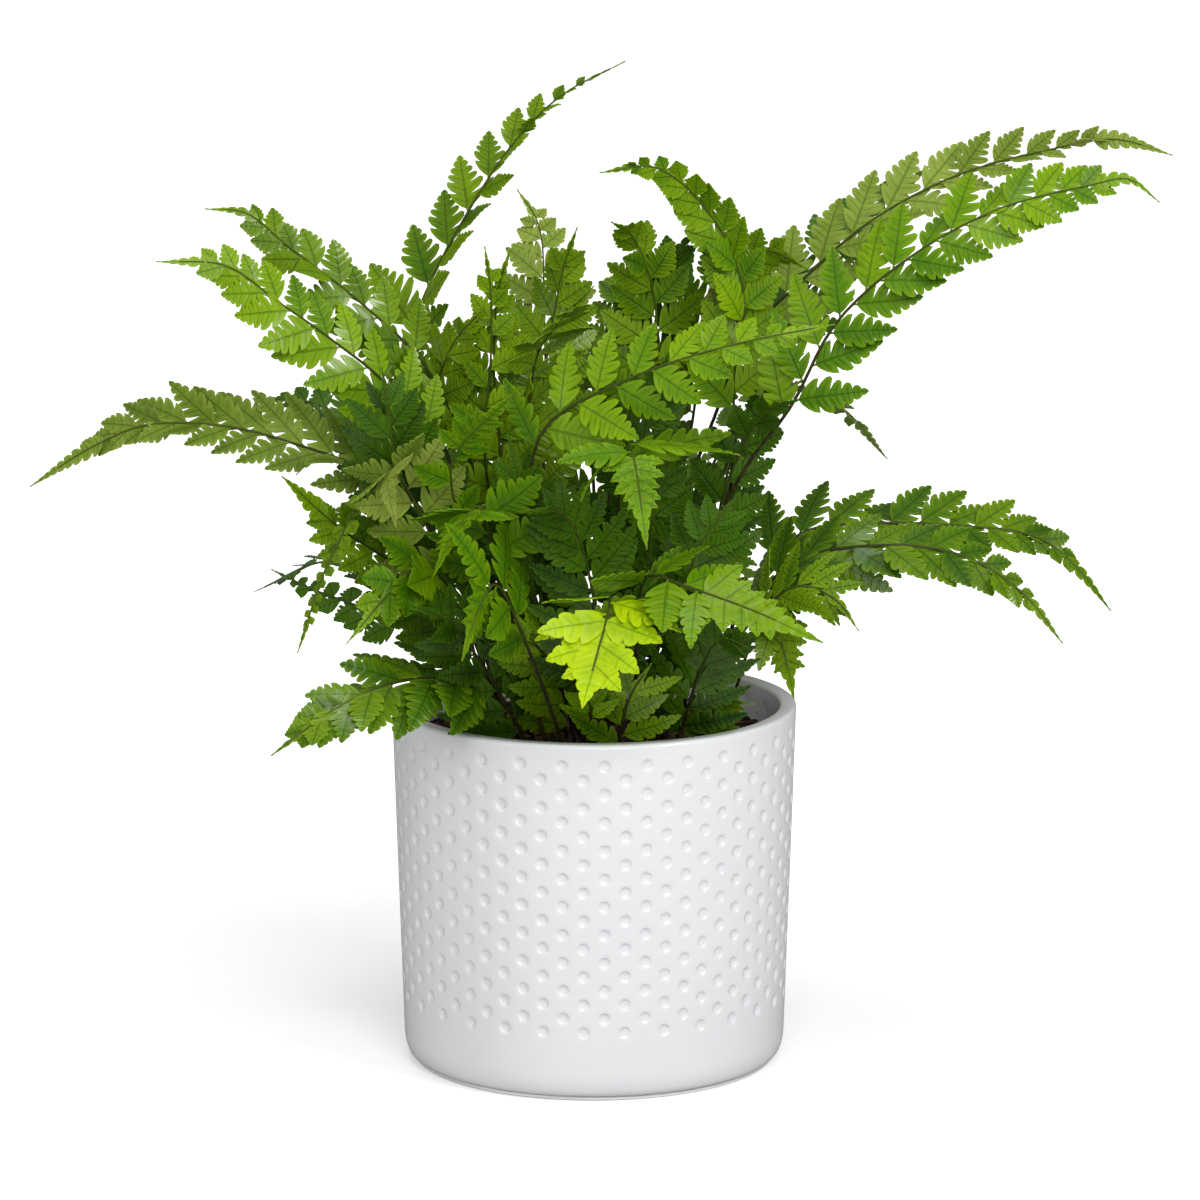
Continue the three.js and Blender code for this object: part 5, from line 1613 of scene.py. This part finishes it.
@dataclass
class Soil:
    """The soil: a rough bed of peat, with crumbs of bark and root fibres on it. Lengths are millimetres.

    swell and clods are each a noise's fineness and its share of the relief. The pairs are the least and
    the most of what chance picks from.
    """

    radius: float = 65.6
    bottom: float = 7.4
    cells: int = 110
    narrowing: float = 0.94
    relief: float = 1.7
    swell: tuple[float, float] = (0.055, 0.6)
    clods: tuple[float, float] = (0.22, 0.55)
    sunk: float = 0.4
    edge: float = 64
    any_turn: float = 6.28
    crumbs: int = 520
    crumb_size: tuple[float, float] = (0.7, 1.2)
    crumb_growth: tuple[float, ...] = (1, 1, 1, 1.6, 2.3)
    crumb_length: tuple[float, float] = (0.7, 1.7)
    crumb_width: tuple[float, float] = (0.6, 1.1)
    crumb_height: tuple[float, float] = (0.4, 0.8)
    crumb_tilt: float = 0.5
    crumb_lift: float = 0.25
    crumb_tint: tuple[float, float] = (-0.25, 0.55)
    crumb_edges: tuple[float, float] = (0.75, 1.2)
    fibres: int = 170
    fibre_steps: int = 5
    fewest_steps: int = 3
    fibre_step: tuple[float, float] = (1.4, 4.0)
    fibre_bend: float = 0.5
    fibre_winding: tuple[float, float] = (0.3, 1.4)
    fibre_radius: tuple[float, float] = (0.14, 0.32)
    fibre_arch: tuple[float, float] = (0.2, 2.2)
    fibre_lift: float = 0.2
    fibre_tint: tuple[float, float] = (-0.2, 0.6)
    fibre_sides: int = 4

    def surface(self, x: float, y: float) -> float:
        """Measures the bed.

        Args:
            x: A place on it.
            y: The same place.

        Returns:
            Its height there.
        """
        spot = Vector((x, y, 0))
        swell = self.swell[1] * noise.noise(spot * self.swell[0])
        clods = self.clods[1] * noise.fractal(spot * self.clods[0], 0.8, 2.1, 3)
        return SOIL_LEVEL + self.relief * (swell + clods) - self.sunk

    def _spot(self, chance: random.Random) -> tuple[float, float]:
        """A chance place on the bed."""
        turn, reach = chance.uniform(0, math.tau), self.edge * math.sqrt(chance.random())
        return reach * math.cos(turn), reach * math.sin(turn)

    def build(self, peat: bpy.types.Material) -> bpy.types.Object:
        """Makes the bed of peat.

        Args:
            peat: Its material.

        Returns:
            The piece.
        """
        bm = bmesh.new()
        grid = bmesh.ops.create_grid(bm, x_segments=self.cells, y_segments=self.cells, size=1.0)["verts"]
        for vert in grid:
            x, y = vert.co.x, vert.co.y
            scale = max(abs(x), abs(y)) / max(math.hypot(x, y), 1e-9) * self.radius
            x, y = x * scale, y * scale
            vert.co = (x * MM, y * MM, self.surface(x, y) * MM)
        bm.normal_update()
        base = bmesh.ops.extrude_face_region(bm, geom=bm.faces[:], use_keep_orig=True)["geom"]
        for item in base:
            if isinstance(item, bmesh.types.BMVert):
                item.co = (item.co.x * self.narrowing, item.co.y * self.narrowing, self.bottom * MM)
        bmesh.ops.recalc_face_normals(bm, faces=bm.faces[:])
        piece = finish_piece(bm, "peat_bed", [peat])
        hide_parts("soil")
        return piece

    def build_crumbs(self, bark: bpy.types.Material) -> bpy.types.Object:
        """Makes the crumbs of bark and peat that lie on the bed.

        Args:
            bark: Their material.

        Returns:
            The piece.
        """
        chance = random.Random("crumbs")
        bm = bmesh.new()
        tint = bm.verts.layers.float.new("tint")
        for _ in range(self.crumbs):
            x, y = self._spot(chance)
            size = chance.uniform(*self.crumb_size) * chance.choice(self.crumb_growth)
            crumb = bmesh.ops.create_icosphere(bm, subdivisions=1, radius=size * MM)["verts"]
            spans = (self.crumb_length, self.crumb_width, self.crumb_height)
            stretch = Matrix.Diagonal((*(chance.uniform(*span) for span in spans), 1))
            turn = Matrix.Rotation(chance.uniform(0, self.any_turn), 4, "Z")
            tilt = Matrix.Rotation(chance.uniform(-self.crumb_tilt, self.crumb_tilt), 4, "X")
            place = Matrix.Translation(Vector((x, y, self.surface(x, y) + self.crumb_lift * size)) * MM)
            shade = chance.uniform(*self.crumb_tint)
            for vert in crumb:
                vert.co *= chance.uniform(*self.crumb_edges)
                vert[tint] = shade
            bmesh.ops.transform(bm, matrix=place @ turn @ tilt @ stretch, verts=crumb)
        return finish_piece(bm, "bark_crumbs", [bark], crease=0.5)

    def build_fibres(self, root: bpy.types.Material) -> bpy.types.Object:
        """Makes the root fibres that lie on the bed.

        Args:
            root: Their material.

        Returns:
            The piece.
        """
        chance = random.Random("fibres")
        bm = bmesh.new()
        tint = bm.verts.layers.float.new("tint")
        for _ in range(self.fibres):
            x, y = self._spot(chance)
            turn = chance.uniform(0, self.any_turn)
            bend = chance.uniform(-self.fibre_bend, self.fibre_bend)
            step, radius = chance.uniform(*self.fibre_step), chance.uniform(*self.fibre_radius)
            arch = chance.uniform(*self.fibre_arch)
            places = []
            for k in range(self.fibre_steps + 1):
                if math.hypot(x, y) > self.edge:
                    break
                lift = self.fibre_lift + arch * math.sin(math.pi * k / self.fibre_steps)
                places.append(Vector((x, y, self.surface(x, y) + lift)) * MM)
                x, y = x + step * math.cos(turn), y + step * math.sin(turn)
                turn += bend * chance.uniform(*self.fibre_winding)
            if len(places) <= self.fewest_steps:
                continue
            stations = []
            for k, place in enumerate(places):
                ahead = (places[min(k + 1, len(places) - 1)] - places[max(k - 1, 0)]).normalized()
                station = Station(place, ahead, 0.0, radius * MM)
                station.turn(Vector((0, 0, 1)))
                stations.append(station)
            shade = chance.uniform(*self.fibre_tint)
            for vert in grow_tube(bm, stations, self.fibre_sides):
                vert[tint] = shade
        return finish_piece(bm, "root_fibres", [root])


@dataclass(frozen=True)
class Lamp:
    """A soft round lamp: where it hangs, how wide it is, in metres, and its power in watts."""

    name: str
    place: tuple[float, float, float]
    size: float
    power: float

    def hang(self, aim: tuple[float, float, float]) -> None:
        """Hangs the lamp.

        Args:
            aim: The place that it looks at.
        """
        light = bpy.data.lights.new(self.name, "AREA")
        light.shape = "DISK"
        light.size = self.size
        light.energy = self.power
        lamp = bpy.data.objects.new(self.name, light)
        lamp.location = self.place
        lamp.rotation_mode = "QUATERNION"
        lamp.rotation_quaternion = (Vector(aim) - Vector(self.place)).to_track_quat("-Z", "Y")
        bpy.context.scene.collection.objects.link(lamp)


@dataclass
class Studio:
    """A white floor, soft light from the upper right, and the camera. Lengths are metres.

    Each pair for the floor has its value near the pot and far off, or to other rays and to the camera
    for its albedo. floor_lit is how far off it starts and ends getting brighter.
    """

    floor_size: float = 60.0
    camera_place: tuple[float, float, float] = (0.0021, -2.230, 0.620)
    camera_pitch: float = -11.482
    lens: float = 191.1
    sensor: float = 36.0
    farthest: float = 200.0
    sky: float = 0.24
    floor_albedo: tuple[float, float] = (0.5, 1.0)
    floor_lift: tuple[float, float] = (0.3, 0.9)
    floor_lit: tuple[float, float] = (0.1, 0.8)
    aim: tuple[float, float, float] = (0.0, 0.0, 0.16)
    lamps: tuple[Lamp, ...] = (
        Lamp("key", (1.3, -1.15, 1.3), 0.5, 16),
        Lamp("front", (0.25, -2.0, 1.2), 1.4, 22),
        Lamp("top", (-0.2, 0.0, 1.9), 0.9, 9),
        Lamp("fill", (-1.6, -0.9, 0.6), 1.2, 7),
    )

    def _floor(self) -> None:
        """Lays the floor."""
        bm = bmesh.new()
        bmesh.ops.create_grid(bm, x_segments=1, y_segments=1, size=self.floor_size / 2)
        mesh = bpy.data.meshes.new("floor")
        bm.to_mesh(mesh)
        bm.free()
        floor = bpy.data.objects.new("floor", mesh)
        bpy.context.scene.collection.objects.link(floor)
        white = opaque((1.0, 1.0, 1.0))
        constants = {"Roughness": 0.9, "Specular IOR Level": 0.0, "Emission Color": white}
        material, graph, shader = start_material("white floor", constants)
        seen = graph.add("ShaderNodeLightPath", {}).outputs["Is Camera Ray"]
        dull, bright = (opaque((albedo, albedo, albedo)) for albedo in self.floor_albedo)
        graph.link(graph.mix(seen, dull, bright), shader.inputs["Base Color"])
        place = object_place(graph)
        away = graph.add("ShaderNodeVectorMath", {0: place}, operation="LENGTH").outputs["Value"]
        lift = graph.remap(away, *self.floor_lit, *self.floor_lift)
        graph.link(graph.math("MULTIPLY", seen, lift), shader.inputs["Emission Strength"])
        mesh.materials.append(material)
        floor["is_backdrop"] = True

    def _sky(self) -> None:
        """Lights the world evenly, and shows it white."""
        world = bpy.data.worlds.new("soft sky")
        bpy.context.scene.world = world
        world.use_nodes = True
        graph = Graph(world.node_tree)
        seen = graph.add("ShaderNodeLightPath", {}).outputs["Is Camera Ray"]
        strength = graph.math("MULTIPLY_ADD", seen, 1.0 - self.sky, self.sky)
        background = world.node_tree.nodes["Background"]
        background.inputs["Color"].default_value = opaque((1.0, 1.0, 1.0))
        graph.link(strength, background.inputs["Strength"])

    def build(self) -> None:
        """Sets up the floor, the light and the camera."""
        scene = bpy.context.scene
        scene.view_settings.view_transform = "Standard"
        self._floor()
        self._sky()
        for lamp in self.lamps:
            lamp.hang(self.aim)
        data = bpy.data.cameras.new("camera")
        data.lens = self.lens
        data.sensor_width = self.sensor
        data.clip_end = self.farthest
        camera = bpy.data.objects.new("camera", data)
        camera.location = self.camera_place
        camera.rotation_euler = (math.radians(90 + self.camera_pitch), 0, 0)
        scene.collection.objects.link(camera)
        scene.camera = camera


def write_sizes() -> None:
    """Measures the box of what is shown beside the box of the solids; neither is written."""
    boxes = {"cad": CAD_BOX, "visual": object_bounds()}
    {name: [list(corner) for corner in box] for name, box in boxes.items()}


def main() -> None:
    """Builds the camera and light, the pot, the soil and every frond, and reports each piece."""
    logging.basicConfig(level=logging.INFO, format="%(name)s: %(message)s")
    Studio().build()
    Pot().build(GlazeFinish().material(DIMPLES.group()))
    crumble = Crumble().group()
    soil = Soil()
    soil.build(PEAT.material(crumble))
    soil.build_crumbs(BARK.material(crumble))
    soil.build_fibres(ROOT.material(crumble))
    skin = LeafSkin().group()
    leaves = {tone: finish.material(skin) for tone, finish in LEAVES.items()}
    stem = StemFinish().material()
    fronds = [Frond(plan) for plan in FRONDS]
    room = Room()
    for frond in fronds:
        for probe in frond.stem_probe():
            room.place(*probe)
    for frond in sorted(fronds, key=lambda frond: frond.nearness):
        frond.build(room, leaves[frond.plan.tone], stem)
    write_sizes()


if __name__ == "__main__":
    main()
